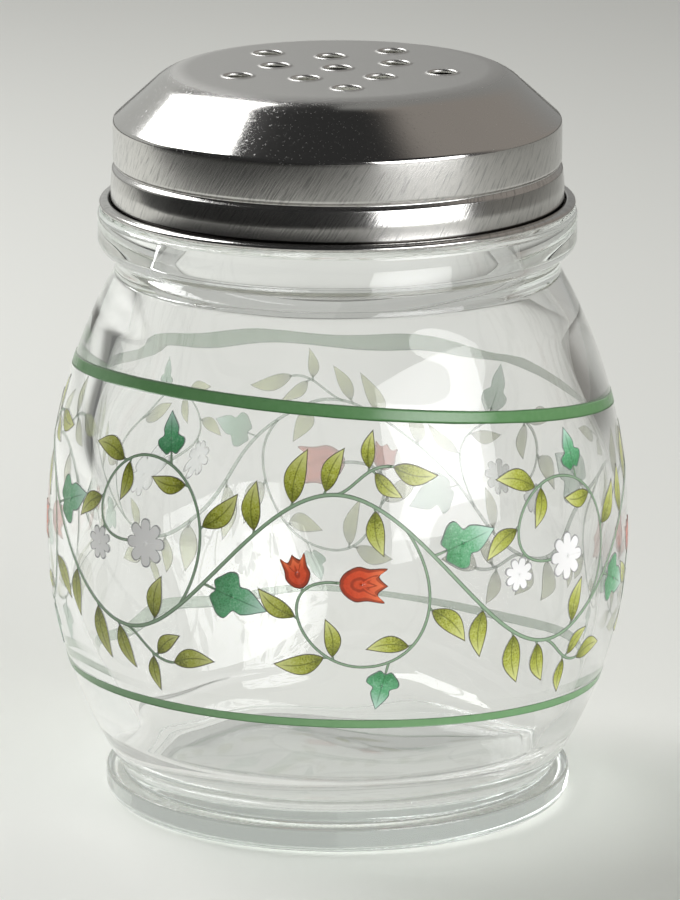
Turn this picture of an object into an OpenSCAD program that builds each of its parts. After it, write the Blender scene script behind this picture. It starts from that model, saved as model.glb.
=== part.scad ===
// Glass cheese shaker: a barrel-shaped moulded jar with a fired enamel border, closed by a
// pressed steel cap that screws on with a hidden threaded liner.
// Millimetres, +Z up, origin at the centre of the foot. The front faces -Y.

/* [Jar] */
// Largest outside diameter, at the belly
belly_d = 91.8; // [86:0.2:100]
// Height of the belly's widest ring
belly_z = 43; // [36:0.5:50]
// Outside diameter of the foot ring
foot_d = 73.8; // [66:0.2:80]
// Height of the foot ring
foot_h = 4.2; // [3.5:0.1:5]
// Radius of the foot ring's rounded outer edge
foot_round = 1.9; // [1:0.1:2.2]
// Width of the ring that the jar stands on
foot_land_w = 3; // [2:0.1:5]
// Height of the hollow pressed up into the underside
punt_h = 1.6; // [0.5:0.1:2.4]
// Radius of the foot ring's upper edge
foot_edge_round = 0.5; // [0.2:0.1:1]
// How far the barrel stands in from the foot ring's edge
foot_step = 3; // [2:0.1:3.5]
// Thickness of the glass at the belly
belly_wall = 4.6; // [3:0.1:5]
// Thickness of the glass at the shoulder
shoulder_wall = 4.8; // [3:0.1:5]
// Thickness of the glass above the inside corner
foot_wall = 3.8; // [2.8:0.1:4.4]
// Thickness of the glass floor at its middle
floor_t = 5; // [3.5:0.1:7]
// Radius of the inside corner between wall and floor
floor_round = 6; // [4:0.5:8]

/* [Neck] */
// Diameter of the mouth, which the finish, the liner, the cap, the bead and the waist follow
mouth_d = 57.4; // [54:0.1:60]
// Thickness of the glass round the mouth, between the threads
finish_wall = 3.2; // [2.6:0.1:4]
// Height of the neck's waist
neck_z = 85.3; // [80:0.1:95]
// Radius of the hollow curve at the waist
neck_round = 2.2; // [1.5:0.1:3.5]
// How far the waist lies inside the bead's edge
waist_depth = 2.6; // [1.8:0.1:3]
// How far the bead stands out beyond the cap's upper band
bead_reach = 2.5; // [2:0.1:3.5]
// Height of the bead's top above the waist
bead_rise = 9.2; // [8.5:0.1:10]
// Height of the bead, whose side is upright
bead_h = 6.8; // [6:0.1:7.5]
// Radius of the bead's round lower edge
bead_round = 2.3; // [1.5:0.1:2.6]
// Radius of the bead's upper edge
bead_edge_round = 0.8; // [0.4:0.1:1]
// Height of the screw finish above the bead, up to the rim
finish_h = 13.7; // [13:0.05:14.2]
// Radius of the rounded rim
rim_round = 1; // [0.5:0.1:1.4]

/* [Screw thread] */
// Rise of the thread in one turn
thread_lead = 4.2; // [3.8:0.1:5]
// Height of the thread's ridge above the finish
thread_h = 1.2; // [0.8:0.05:1.3]
// Width of the ridge at its root
thread_root_w = 1.9; // [1.4:0.05:2]
// Width of the ridge at its crest
thread_crest_w = 0.8; // [0.4:0.05:1]
// Height of the start of the glass thread above the bead
thread_start_h = 4.1; // [4:0.05:4.6]
// Turns of thread on the glass
glass_turns = 1.3; // [1:0.05:1.5]
// Turns of thread in the liner
liner_turns = 1.2; // [1:0.05:1.4]
// Clearance between a ridge and the wall it passes
thread_gap = 0.4; // [0.3:0.05:0.6]

/* [Cap] */
// Height of the cap from the hem to the flat top
cap_h = 21.45; // [21.2:0.05:24]
// Height of the shoulder, from the upper band's corner to the flat top
shoulder_h = 7.8; // [7.2:0.1:8.2]
// Clearance between the hem and the bead under it
cap_gap = 0.35; // [0.2:0.05:0.6]
// Lean of the shoulder from the level, in degrees
shoulder_lean = 42; // [38:1:46]
// Radius of the bend between the flat top and the shoulder
top_bend = 8; // [4:0.5:10]
// Radius of the bend between the shoulder and the upper band
corner_bend = 0.9; // [0.5:0.1:1.4]
// Thickness of the steel sheet
sheet_t = 0.36; // [0.3:0.02:0.4]
// Height above the hem's underside of the groove that holds the liner
groove_h = 6.75; // [6.4:0.05:7.5]
// Depth of the groove
groove_depth = 0.45; // [0.2:0.05:0.5]
// Height of the groove's opening
groove_w = 1.3; // [0.8:0.1:1.8]
// How far the lower band stands out beyond the upper band
skirt_reach = 0.4; // [0.2:0.05:0.6]
// How far the rolled hem stands out beyond the upper band
hem_reach = 2.2; // [1.9:0.1:2.4]
// Half the height of the hem's flat curl
hem_roll = 0.6; // [0.5:0.05:0.7]

/* [Sprinkle holes] */
// Diameter of each hole
hole_d = 4.2; // [3:0.1:4.6]
// Outside diameter of the raised lip round each hole
lip_d = 5.2; // [4.8:0.1:5.6]
// Height of the raised lip above the top
lip_h = 0.25; // [0.15:0.05:0.5]
// Holes in each of the two rings round the centre hole
holes_per_ring = 5; // [3:1:6]
// Radius of the inner ring of holes
inner_ring_r = 9.9; // [8.5:0.1:11]
// Radius of the outer ring of holes
outer_ring_r = 16.7; // [15.5:0.1:19]
// Turn of the inner ring of holes
inner_ring_turn = 24; // [0:1:72]
// Turn of the outer ring of holes
outer_ring_turn = 59; // [0:1:72]

/* [Liner and washer] */
// Thickness of the liner's wall inside the cap's upper band
liner_wall = 1.04; // [0.95:0.01:1.3]
// Clearance between the liner and the steel round it
liner_fit = 0.1; // [0.05:0.01:0.15]
// Height of the liner's lower edge above the middle of the hem's roll
liner_lift = 1; // [0.8:0.1:1.5]
// Thickness of the liner's top flange
flange_t = 0.8; // [0.6:0.05:0.9]
// Width of the sealing washer
washer_w = 2.8; // [2:0.1:3.2]
// Thickness of the sealing washer
washer_t = 0.8; // [0.6:0.05:0.9]

/* [Enamel border] */
// Height from the upper stripe's middle up to the barrel's top, averaged round the jar
upper_stripe_drop = 16.9; // [14:0.1:19]
// Width of the upper stripe
upper_stripe_w = 1.9; // [1:0.1:2.5]
// Rise and fall of the upper stripe round the jar
upper_stripe_tilt = 5.2; // [0:0.1:6]
// Height from the foot ring up to the lower stripe's middle, averaged round the jar
lower_stripe_rise = 17.1; // [14:0.1:20]
// Width of the lower stripe
lower_stripe_w = 1.4; // [1:0.1:2]
// Rise and fall of the lower stripe round the jar
lower_stripe_tilt = 2.1; // [0:0.1:3]
// Turn from the front towards +X of the side where both stripes stand highest
stripe_high_turn = -37; // [-180:1:180]
// How far the enamel stands out of the glass
enamel_proud = 0.1; // [0.05:0.01:0.2]
// How deep the enamel is fused into the glass
enamel_sunk = 0.15; // [0.12:0.01:0.25]
// Waves of the vine round the jar, each with two opposite bends
vine_waves = 4; // [3:1:5]
// Width of the main stem
stem_w = 0.6; // [0.5:0.05:1]
// Width of the side stems
twig_w = 0.45; // [0.4:0.05:0.8]
// Clearance between a stem and the leaf or flower beside it
petiole_gap = 0.35; // [0.2:0.05:0.6]
// Length of an olive leaf, as a share of a bend's length on the belly
olive_length_share = 0.233; // [0.16:0.001:0.25]
// Width of an olive leaf, as a share of a bend's length
olive_width_share = 0.097; // [0.06:0.001:0.12]
// Bow of an olive leaf, as a share of its own length
olive_bow_share = 0.09; // [0:0.01:0.12]
// Length of a blue-green lobed leaf, as a share of a bend's length
lobed_length_share = 0.255; // [0.18:0.001:0.26]
// Width of a blue-green lobed leaf, as a share of a bend's length
lobed_width_share = 0.211; // [0.15:0.001:0.22]
// Further clearance at the foot of a lobed leaf, as a share of a bend's length
lobed_stalk_share = 0.03; // [0.02:0.001:0.04]
// Length of a red bud, as a share of a bend's length
bud_length_share = 0.205; // [0.14:0.001:0.22]
// Width of a red bud, as a share of a bend's length
bud_width_share = 0.155; // [0.1:0.001:0.17]
// Diameter of a white daisy, as a share of a bend's length
daisy_share = 0.211; // [0.14:0.001:0.22]

/* [Hidden] */
$fn = 96;

// Angles
quarter_turn = 90;
half_turn = 180;
full_turn = 360;
curve_lean = 30;
bead_lean = 75;
hem_roll_turn = 285;

// Radii and heights that follow from the sizes above
belly_r = belly_d / 2;
foot_r = foot_d / 2;
mouth_r = mouth_d / 2;
finish_r = mouth_r + finish_wall;
thread_r = finish_r + thread_h;
liner_bore_r = thread_r + thread_gap;
cap_r = liner_bore_r + liner_wall + liner_fit + sheet_t;
skirt_r = cap_r + skirt_reach;
hem_r = cap_r + hem_reach;
bead_r = cap_r + bead_reach;
neck_r = bead_r - waist_depth;
barrel_foot_r = foot_r - foot_step;
barrel_neck_r = neck_r + neck_round * (1 - cos(curve_lean));
barrel_neck_z = neck_z - neck_round * sin(curve_lean);
inner_belly_r = belly_r - belly_wall;
floor_z = punt_h + floor_t;
shoulder_in_z = neck_z - neck_round;
shoulder_in_r = barrel_r(shoulder_in_z) - shoulder_wall;
wall_foot_z = floor_z + floor_round;
wall_foot_r = barrel_r(wall_foot_z) - foot_wall;
bead_ledge_z = neck_z + bead_rise;
bead_z = bead_ledge_z - bead_h + bead_round;
rim_z = bead_ledge_z + finish_h;
thread_z = bead_ledge_z + thread_start_h;
cap_base_z = bead_ledge_z + cap_gap;
hem_z = cap_base_z + hem_roll;
groove_z = cap_base_z + groove_h;
cap_top_z = cap_base_z + cap_h;
corner_z = cap_top_z - shoulder_h;
foot_land_r = foot_r - foot_round - foot_land_w;
upper_stripe_z = barrel_neck_z - upper_stripe_drop;
lower_stripe_z = foot_h + lower_stripe_rise;

// The vine's bends
bends = 2 * vine_waves;
bend_deg = full_turn / bends;
bend_l = PI * belly_d / bends;

// Shares and step counts of the curves
barrel_steps = 12;
bend_steps = 6;
thread_steps_per_turn = 48;
thread_bury_share = 0.5;
thread_tip_share = 0.05;
lip_shares = [[0, 0.7], [0.08, 0.93], [0.2, 1], [0.4, 0.8], [0.7, 0.32], [1, 0]];
thread_fade_share = 0.12;
floor_crown_share = 0.12;
stripe_steps = 72;
stem_steps = 10;
volute_steps = 16;
spray_steps = 5;
look_share = 0.01;
overrun = 1;

// The vine's layout within one bend. Places run along the bend from 0 to 1, heights run from
// -1 at the stripe on the hollow side to 1 at the stripe on the crest side.
crest_share = 0.5;
volute_shares = [[0.8, 0.29], [0.99, -0.13], [0.88, -0.6], [0.6, -0.6],
                 [0.33, -0.6], [0.2, -0.02], [0.5, -0.05]];
spray_shares = [[0.49, 0.5], [0.57, 0.52], [0.62, 0.7], [0.74, 0.69]];
// The three stems that carry leaves
MAIN = 0;
VOLUTE = 1;
SPRAY = 2;
// Each leaf or flower is its stem, its share of the way along it, its turn and its share of full size
olive_leaf_shares = [
    [MAIN, 0.14, 46, 0.9], [MAIN, 0.3, 44, 1], [MAIN, 0.44, 56, 0.85], [MAIN, 0.66, -50, 0.85],
    [SPRAY, 0.66, 52, 0.68], [SPRAY, 0.72, -66, 0.7], [SPRAY, 1, -6, 0.9],
    [VOLUTE, 0.2, 52, 0.95], [VOLUTE, 0.33, -46, 0.8], [VOLUTE, 0.6, 42, 0.95],
    [VOLUTE, 0.58, -52, 0.75], [VOLUTE, 0.76, 40, 0.85]];
lobed_leaf_shares = [[MAIN, 0.915, 64, 1], [VOLUTE, 0.42, 56, 0.7]];
bud_shares = [[VOLUTE, 1, 0, 1], [VOLUTE, 0.88, 58, 0.72]];
daisy_shares = [[VOLUTE, 1, 0, 1], [VOLUTE, 0.88, 58, 0.72]];
// Outlines in shares of a leaf's length and half width
lobed_outline_shares = [[0, 0], [0.04, 0.06], [-0.02, 0.34], [0.06, 0.62], [0.2, 0.96], [0.34, 0.98],
                        [0.44, 0.56], [0.58, 0.58], [0.72, 0.44], [0.86, 0.22], [1, 0]];
bud_outline_shares = [[0, 0], [0, 0.2], [0.1, 0.62], [0.34, 0.98], [0.6, 0.9], [0.96, 0.96],
                      [0.8, 0.5], [1, 0]];
leaf_steps = 7;
leaf_fullness_share = 0.8;
daisy_petals = 8;
daisy_notch_share = 0.62;

function mirrored(half) =
    concat([for (p = half) [p[0], -p[1]]], [for (i = [len(half) - 2:-1:1]) half[i]]);
function arc_points(cx, cz, r, from, to, steps) =
    [for (i = [0:steps]) let (a = from + (to - from) * i / steps) [cx + r * cos(a), cz + r * sin(a)]];
function oval_points(cx, cz, rx, rz, from, to, steps) =
    [for (i = [0:steps]) let (a = from + (to - from) * i / steps) [cx + rx * cos(a), cz + rz * sin(a)]];
function past_first(points) = [for (i = [1:len(points) - 1]) points[i]];

// Radius of the circle that leaves the belly upright and passes a point lower or higher
function sweep_r(rise, drop) = (rise * rise + drop * drop) / (2 * drop);
function bowed_r(top_r, rise, drop, z_off) =
    top_r - sweep_r(rise, drop) + sqrt(pow(sweep_r(rise, drop), 2) - z_off * z_off);
function barrel_r(z) = z < belly_z
    ? bowed_r(belly_r, belly_z - foot_h, belly_r - barrel_foot_r, belly_z - z)
    : bowed_r(belly_r, barrel_neck_z - belly_z, belly_r - barrel_neck_r, z - belly_z);
function inner_r(z) = z < belly_z
    ? bowed_r(inner_belly_r, belly_z - wall_foot_z, inner_belly_r - wall_foot_r, belly_z - z)
    : bowed_r(inner_belly_r, shoulder_in_z - belly_z, inner_belly_r - shoulder_in_r, z - belly_z);
function blended(a, b, c, t) = pow(1 - t, 2) * a + 2 * t * (1 - t) * b + t * t * c;
function spaced(from, to, steps) = [for (i = [0:steps]) from + (to - from) * i / steps];

// A ridge of trapezoid section wound along a helix, its ends faded into the wall
function ridge_fade(t) = min(1, t / thread_fade_share, (1 - t) / thread_fade_share);
module helix_ridge(wall_r, reach, bury, z0, turns) {
    steps = round(turns * thread_steps_per_turn);
    sections = [for (i = [0:steps])
        let (
            t = i / steps,
            a = full_turn * turns * t,
            z = z0 + thread_lead * turns * t,
            grow = max(thread_tip_share, ridge_fade(t)),
            tip = wall_r + reach * grow
        )
        [for (p = [[wall_r - bury, -thread_root_w / 2], [tip, -thread_crest_w / 2],
                   [tip, thread_crest_w / 2], [wall_r - bury, thread_root_w / 2]])
            [p[0] * cos(a), p[0] * sin(a), z + p[1]]]];
    outward = reach > 0;
    faces = concat(
        [[0, 1, 2], [0, 2, 3]],
        [for (i = [0:steps - 1]) for (k = [0:3]) for (f = [0, 1])
            let (a = 4 * i + k, b = 4 * i + (k + 1) % 4)
            f == 0 ? [a, a + 4, b] : [b, a + 4, b + 4]],
        [[4 * steps, 4 * steps + 2, 4 * steps + 1], [4 * steps, 4 * steps + 3, 4 * steps + 2]]);
    polyhedron(
        points = [for (s = sections) for (p = s) p],
        faces = outward ? [for (f = faces) [f[2], f[1], f[0]]] : faces);
}

// The moulded jar: foot, barrel, waist, bead and screw finish in one piece of glass
module glass_jar() {
    inner_corner_r = wall_foot_r - floor_round;
    outside = concat(
        [[foot_land_r, 0]],
        arc_points(foot_r - foot_round, foot_round, foot_round, -quarter_turn, 0, bend_steps),
        arc_points(foot_r - foot_edge_round, foot_h - foot_edge_round, foot_edge_round,
                   0, quarter_turn, bend_steps),
        [for (z = spaced(foot_h, belly_z, barrel_steps)) [barrel_r(z), z]],
        [for (z = spaced(belly_z, barrel_neck_z, barrel_steps)) if (z > belly_z) [barrel_r(z), z]],
        past_first(arc_points(neck_r + neck_round, neck_z, neck_round,
                              half_turn + curve_lean, half_turn, bend_steps)),
        [[neck_r, bead_z - bead_round]],
        arc_points(bead_r - bead_round, bead_z, bead_round, -bead_lean, 0, bend_steps),
        arc_points(bead_r - bead_edge_round, bead_ledge_z - bead_edge_round, bead_edge_round,
                   0, quarter_turn, bend_steps),
        [[finish_r, bead_ledge_z]],
        arc_points(finish_r - rim_round, rim_z - rim_round, rim_round, 0, quarter_turn, bend_steps));
    inside = concat(
        arc_points(mouth_r + rim_round, rim_z - rim_round, rim_round, quarter_turn, half_turn, bend_steps),
        [for (t = spaced(0, 1, bend_steps))
            blended([mouth_r, bead_z], [mouth_r, neck_z], [shoulder_in_r, shoulder_in_z], t)],
        [for (z = spaced(shoulder_in_z, belly_z, barrel_steps)) if (z < shoulder_in_z) [inner_r(z), z]],
        [for (z = spaced(belly_z, wall_foot_z, barrel_steps)) if (z < belly_z) [inner_r(z), z]],
        past_first(arc_points(inner_corner_r, floor_z + floor_round, floor_round,
                              0, -quarter_turn, bend_steps)),
        [[0, floor_z + floor_round * floor_crown_share]]);
    underside = [for (t = spaced(0, 1, bend_steps)) if (t < 1) [foot_land_r * t, punt_h * (1 - t * t)]];
    color([0.86, 0.93, 0.9, 0.45])
    union() {
        rotate_extrude() polygon(concat(outside, inside, underside));
        helix_ridge(finish_r, thread_h, thread_h * thread_bury_share, thread_z, glass_turns);
    }
}

// The pressed steel cap with its rolled hem and raised sprinkle holes
module cap_section() {
    lean = shoulder_lean;
    rest = quarter_turn - lean;
    corner_run = corner_bend * tan(rest / 2);
    knee_r = cap_r - (cap_top_z - corner_z) / tan(lean);
    bend_run = top_bend * tan(lean / 2);
    skirt_bore = skirt_r - sheet_t;
    groove_r = cap_r - groove_depth;
    hem_mid_r = (hem_r + skirt_bore) / 2;
    hem_half_w = (hem_r - skirt_bore) / 2;
    skin = concat(
        [[0, cap_top_z]],
        arc_points(knee_r - bend_run, cap_top_z - top_bend, top_bend, quarter_turn, rest, bend_steps),
        arc_points(cap_r - corner_bend, corner_z - corner_run, corner_bend, rest, 0, bend_steps),
        [[cap_r, groove_z + groove_w / 2], [groove_r, groove_z + groove_w / 5],
         [groove_r, groove_z - groove_w / 5], [skirt_r - groove_depth / 3, groove_z - groove_w / 2],
         [skirt_r, groove_z - 2 * groove_w]]);
    back = concat(
        [[skirt_bore, groove_z - 2 * groove_w],
         [skirt_bore - groove_depth / 3, groove_z - groove_w / 2],
         [groove_r - sheet_t, groove_z - groove_w / 5],
         [groove_r - sheet_t, groove_z + groove_w / 5],
         [cap_r - sheet_t, groove_z + groove_w / 2]],
        arc_points(cap_r - corner_bend, corner_z - corner_run, corner_bend - sheet_t, 0, rest, bend_steps),
        arc_points(knee_r - bend_run, cap_top_z - top_bend, top_bend - sheet_t,
                   rest, quarter_turn, bend_steps),
        [[0, cap_top_z - sheet_t]]);
    roll_end = half_turn + hem_roll_turn;
    roll_inside = oval_points(hem_mid_r, hem_z, hem_half_w - sheet_t, hem_roll - sheet_t,
                              half_turn, roll_end, 2 * bend_steps);
    roll_outside = oval_points(hem_mid_r, hem_z, hem_half_w, hem_roll, roll_end, half_turn, 2 * bend_steps);
    polygon(concat(skin, roll_inside, roll_outside, back));
}

module at_holes() {
    children();
    for (i = [0:holes_per_ring - 1]) {
        rotate(inner_ring_turn + full_turn * i / holes_per_ring) translate([inner_ring_r, 0, 0]) children();
        rotate(outer_ring_turn + full_turn * i / holes_per_ring) translate([outer_ring_r, 0, 0]) children();
    }
}

module hole_lip() {
    lip_w = (lip_d - hole_d) / 2;
    translate([0, 0, cap_top_z])
    rotate_extrude($fn = 48)
    polygon(concat([for (p = lip_shares) [hole_d / 2 + lip_w * p[0], lip_h * p[1]]],
                   [[lip_d / 2, -sheet_t / 2], [hole_d / 2, -sheet_t / 2]]));
}

module steel_cap() {
    color([0.72, 0.73, 0.74])
    difference() {
        union() {
            rotate_extrude() cap_section();
            at_holes() hole_lip();
        }
        at_holes()
        translate([0, 0, cap_top_z - sheet_t - overrun])
        cylinder(d = hole_d, h = sheet_t + lip_h + 2 * overrun, $fn = 48);
    }
}

// The moulded liner that carries the cap's thread, held by the groove
module thread_liner() {
    skirt_bore = skirt_r - sheet_t;
    low_r = skirt_bore - groove_depth / 3 - liner_fit;
    waist_r = cap_r - groove_depth - sheet_t - liner_fit;
    high_r = cap_r - sheet_t - liner_fit;
    liner_z = hem_z + liner_lift;
    flange_z = rim_z + washer_t;
    flange_top = flange_z + flange_t;
    flange_bore = mouth_r + rim_round;
    chamfer_z = corner_z - corner_bend;
    chamfer_r = high_r - (flange_top - chamfer_z) / tan(shoulder_lean) - liner_fit;
    color([0.93, 0.93, 0.9])
    union() {
        rotate_extrude()
        polygon([
            [liner_bore_r, liner_z], [low_r, liner_z], [low_r, groove_z - groove_w / 2],
            [waist_r, groove_z - groove_w / 5], [waist_r, groove_z + groove_w / 5],
            [high_r, groove_z + groove_w / 2 + groove_depth / 2], [high_r, chamfer_z],
            [chamfer_r, flange_top], [flange_bore, flange_top], [flange_bore, flange_z],
            [finish_r + thread_gap, flange_z], [liner_bore_r, flange_z - 2 * flange_t]]);
        rotate(half_turn) helix_ridge(liner_bore_r, -thread_h, -thread_gap, thread_z, liner_turns);
    }
}

// The flat washer that seals the rim
module sealing_washer() {
    color([0.9, 0.9, 0.86])
    translate([0, 0, rim_z])
    difference() {
        cylinder(r = finish_r, h = washer_t);
        translate([0, 0, -overrun]) cylinder(r = finish_r - washer_w, h = washer_t + 2 * overrun);
    }
}

// Points on the barrel: azimuth from the front towards +X, height, and a lift off the glass
function on_barrel(az, z, lift) =
    let (r = barrel_r(z) + lift) [r * sin(az), -r * cos(az), z];
function upper_z(az) = upper_stripe_z + upper_stripe_tilt * cos(az - stripe_high_turn);
function lower_z(az) = lower_stripe_z + lower_stripe_tilt * cos(az - stripe_high_turn);
function mid_z(az) = (upper_z(az) + lower_z(az)) / 2;
function half_band(az) = (upper_z(az) - lower_z(az)) / 2;
// Degrees of azimuth to a length along the belly
function arc_deg(s) = s / belly_r * half_turn / PI;

// A closed or open band of enamel along a line of [azimuth, height] points
module enamel_band(line, width, closed = false) {
    n = len(line);
    spans = closed ? n : n - 1;
    side = [for (i = [0:n - 1])
        let (
            a = line[closed ? (i + n - 1) % n : max(i - 1, 0)],
            b = line[closed ? (i + 1) % n : min(i + 1, n - 1)],
            wrap = closed && (i == 0 || i == n - 1) ? full_turn : 0,
            ds = (b[0] + wrap - a[0]) * PI / half_turn * belly_r,
            dz = b[1] - a[1],
            l = norm([ds, dz])
        )
        [arc_deg(-dz / l * width / 2), ds / l * width / 2]];
    corners = [[1, enamel_proud], [-1, enamel_proud], [-1, -enamel_sunk], [1, -enamel_sunk]];
    points = [for (i = [0:n - 1]) for (c = corners)
        on_barrel(line[i][0] + c[0] * side[i][0], line[i][1] + c[0] * side[i][1], c[1])];
    walls = [for (i = [0:spans - 1]) for (k = [0:3]) for (f = [0, 1])
        let (a = 4 * i + k, b = 4 * i + (k + 1) % 4, c = (a + 4) % (4 * n), d = (b + 4) % (4 * n))
        f == 0 ? [a, c, b] : [b, c, d]];
    last = 4 * n - 4;
    ends = closed ? [] : [[0, 1, 2], [0, 2, 3], [last, last + 2, last + 1], [last, last + 3, last + 2]];
    polyhedron(points = points, faces = concat(walls, ends));
}

// A patch of enamel from an outline of [along, across] lengths, fanned from its middle
module enamel_patch(az, z, turn, outline) {
    n = len(outline);
    middle = [for (k = [0, 1]) [for (p = outline) p[k]] * [for (p = outline) 1 / n]];
    flat = concat([middle], outline);
    laid = [for (p = flat)
        [az + arc_deg(p[0] * cos(turn) - p[1] * sin(turn)), z + p[0] * sin(turn) + p[1] * cos(turn)]];
    points = concat([for (p = laid) on_barrel(p[0], p[1], enamel_proud)],
                    [for (p = laid) on_barrel(p[0], p[1], -enamel_sunk)]);
    faces = [for (i = [1:n]) for (f = [0:3])
        let (j = i % n + 1, m = n + 1)
        [[0, j, i], [m, m + i, m + j], [i, j, m + i], [j, m + j, m + i]][f]];
    polyhedron(points = points, faces = faces);
}

// One bend of the vine spans this azimuth; odd bends are turned upside down
function bend_side(b) = b % 2 == 0 ? 1 : -1;
function place(b, spot) =
    let (az = (b + spot[0]) * bend_deg - bend_deg / 2)
    [az, mid_z(az) + bend_side(b) * spot[1] * half_band(az)];
function bezier(p, t) =
    pow(1 - t, 3) * p[0] + 3 * pow(1 - t, 2) * t * p[1] + 3 * (1 - t) * t * t * p[2] + pow(t, 3) * p[3];
function volute_half(k) = [for (i = [0:3]) volute_shares[3 * k + i]];
function stem_spot(stem, t) =
    stem == MAIN ? [t, crest_share * sin(half_turn * t)] :
    stem == SPRAY ? bezier(spray_shares, t) :
    t < 0.5 ? bezier(volute_half(0), 2 * t) : bezier(volute_half(1), 2 * t - 1);
function stem_heading(b, stem, t) =
    let (
        from = place(b, stem_spot(stem, max(t - look_share, 0))),
        to = place(b, stem_spot(stem, min(t + look_share, 1)))
    )
    atan2(to[1] - from[1], (to[0] - from[0]) * PI / half_turn * belly_r);
function stem_line(b, stem, steps) = [for (i = [0:steps]) place(b, stem_spot(stem, i / steps))];

// Grows its children at each place along the stems of every bend, or of one kind of bend.
// A place at the very end of a stem sits a little beyond it, the others beside it.
module grown(places, side = 0) {
    for (b = [0:bends - 1])
        if (side == 0 || side == bend_side(b))
            for (p = places) {
                spot = place(b, stem_spot(p[0], p[1]));
                $az = spot[0];
                $z = spot[1];
                $turn = stem_heading(b, p[0], p[1]) + bend_side(b) * p[2];
                $start = petiole_gap + (p[1] < 1 ? (p[0] == MAIN ? stem_w : twig_w) / 2 : 0);
                $size = bend_l * p[3];
                $side = bend_side(b) * sign(p[2]);
                children();
            }
}

function moved(outline, start) = [for (p = outline) [p[0] + start, p[1]]];
function bowed(outline, l, bow) = [for (p = outline) [p[0], p[1] + bow * sin(half_turn * p[0] / l)]];
function leaf_outline(l, w) = mirrored([for (i = [0:leaf_steps])
    let (t = i / leaf_steps) [l * t, w / 2 * sin(half_turn * pow(t, leaf_fullness_share))]]);
function shaped_outline(shares, l, w) = mirrored([for (p = shares) [l * p[0], w / 2 * p[1]]]);
function daisy_outline(d) = [for (i = [0:2 * daisy_petals - 1])
    let (r = d / 2 * (i % 2 == 0 ? 1 : daisy_notch_share), a = half_turn * i / daisy_petals)
    [d / 2 + r * cos(a), r * sin(a)]];

module upper_stripe() {
    color([0.17, 0.42, 0.25])
    enamel_band([for (i = [0:stripe_steps - 1]) let (az = full_turn * i / stripe_steps) [az, upper_z(az)]],
                upper_stripe_w, closed = true);
}

module lower_stripe() {
    color([0.28, 0.55, 0.34])
    enamel_band([for (i = [0:stripe_steps - 1]) let (az = full_turn * i / stripe_steps) [az, lower_z(az)]],
                lower_stripe_w, closed = true);
}

module vine_stems() {
    color([0.5, 0.6, 0.45])
    union() {
        enamel_band([for (b = [0:bends - 1]) for (i = [0:stem_steps - 1])
                         place(b, stem_spot(MAIN, i / stem_steps))],
                    stem_w, closed = true);
        for (b = [0:bends - 1]) {
            enamel_band(stem_line(b, VOLUTE, volute_steps), twig_w);
            enamel_band(stem_line(b, SPRAY, spray_steps), twig_w);
        }
    }
}

module olive_leaves() {
    color([0.47, 0.53, 0.2])
    grown(olive_leaf_shares) {
        l = olive_length_share * $size;
        outline = bowed(leaf_outline(l, olive_width_share * $size), l, $side * olive_bow_share * l);
        enamel_patch($az, $z, $turn, moved(outline, $start));
    }
}

module lobed_leaves() {
    color([0.16, 0.47, 0.36])
    grown(lobed_leaf_shares) {
        outline = shaped_outline(lobed_outline_shares, lobed_length_share * $size, lobed_width_share * $size);
        enamel_patch($az, $z, $turn, moved(outline, $start + lobed_stalk_share * bend_l));
    }
}

module red_buds() {
    color([0.8, 0.24, 0.12])
    grown(bud_shares, side = 1) {
        outline = shaped_outline(bud_outline_shares, bud_length_share * $size, bud_width_share * $size);
        enamel_patch($az, $z, $turn, moved(outline, $start));
    }
}

module white_daisies() {
    color([0.95, 0.95, 0.93])
    grown(daisy_shares, side = -1)
    enamel_patch($az, $z, $turn, moved(daisy_outline(daisy_share * $size), $start));
}

glass_jar();
steel_cap();
thread_liner();
sealing_washer();
upper_stripe();
lower_stripe();
vine_stems();
olive_leaves();
lobed_leaves();
red_buds();
white_daisies();
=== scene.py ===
"""Looks of a glass cheese shaker, built round its packed construction model.

The jar, the cap and the fired enamel are modelled again as finer meshes, which take the place of
their construction solids. The liner and the washer keep their solids and get a finish.
Lengths are metres, +Z is up and the front faces -Y.
"""

from __future__ import annotations

import logging
import math
from dataclasses import dataclass, field, replace
from enum import Enum

import bmesh
import bpy
import numpy as np
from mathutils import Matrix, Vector

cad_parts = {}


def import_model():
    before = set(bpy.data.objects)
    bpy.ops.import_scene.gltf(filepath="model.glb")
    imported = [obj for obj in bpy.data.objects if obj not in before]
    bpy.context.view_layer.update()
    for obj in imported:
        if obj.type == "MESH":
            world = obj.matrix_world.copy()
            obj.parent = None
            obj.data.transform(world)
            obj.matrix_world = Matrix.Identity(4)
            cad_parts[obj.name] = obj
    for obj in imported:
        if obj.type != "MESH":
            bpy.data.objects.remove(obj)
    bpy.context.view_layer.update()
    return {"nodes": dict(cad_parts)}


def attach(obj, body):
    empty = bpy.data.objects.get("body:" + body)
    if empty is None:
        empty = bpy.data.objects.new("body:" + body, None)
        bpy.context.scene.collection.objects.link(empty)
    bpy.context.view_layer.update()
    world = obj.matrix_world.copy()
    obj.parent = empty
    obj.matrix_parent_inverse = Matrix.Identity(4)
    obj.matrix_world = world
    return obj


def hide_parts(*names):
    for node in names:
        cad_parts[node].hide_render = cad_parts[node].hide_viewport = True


LOG = logging.getLogger("shaker")
MM = 0.001
CORNER_SHARE = 0.49
Colour = tuple[float, float, float, float]
Outline = list[tuple[float, float]]


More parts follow.
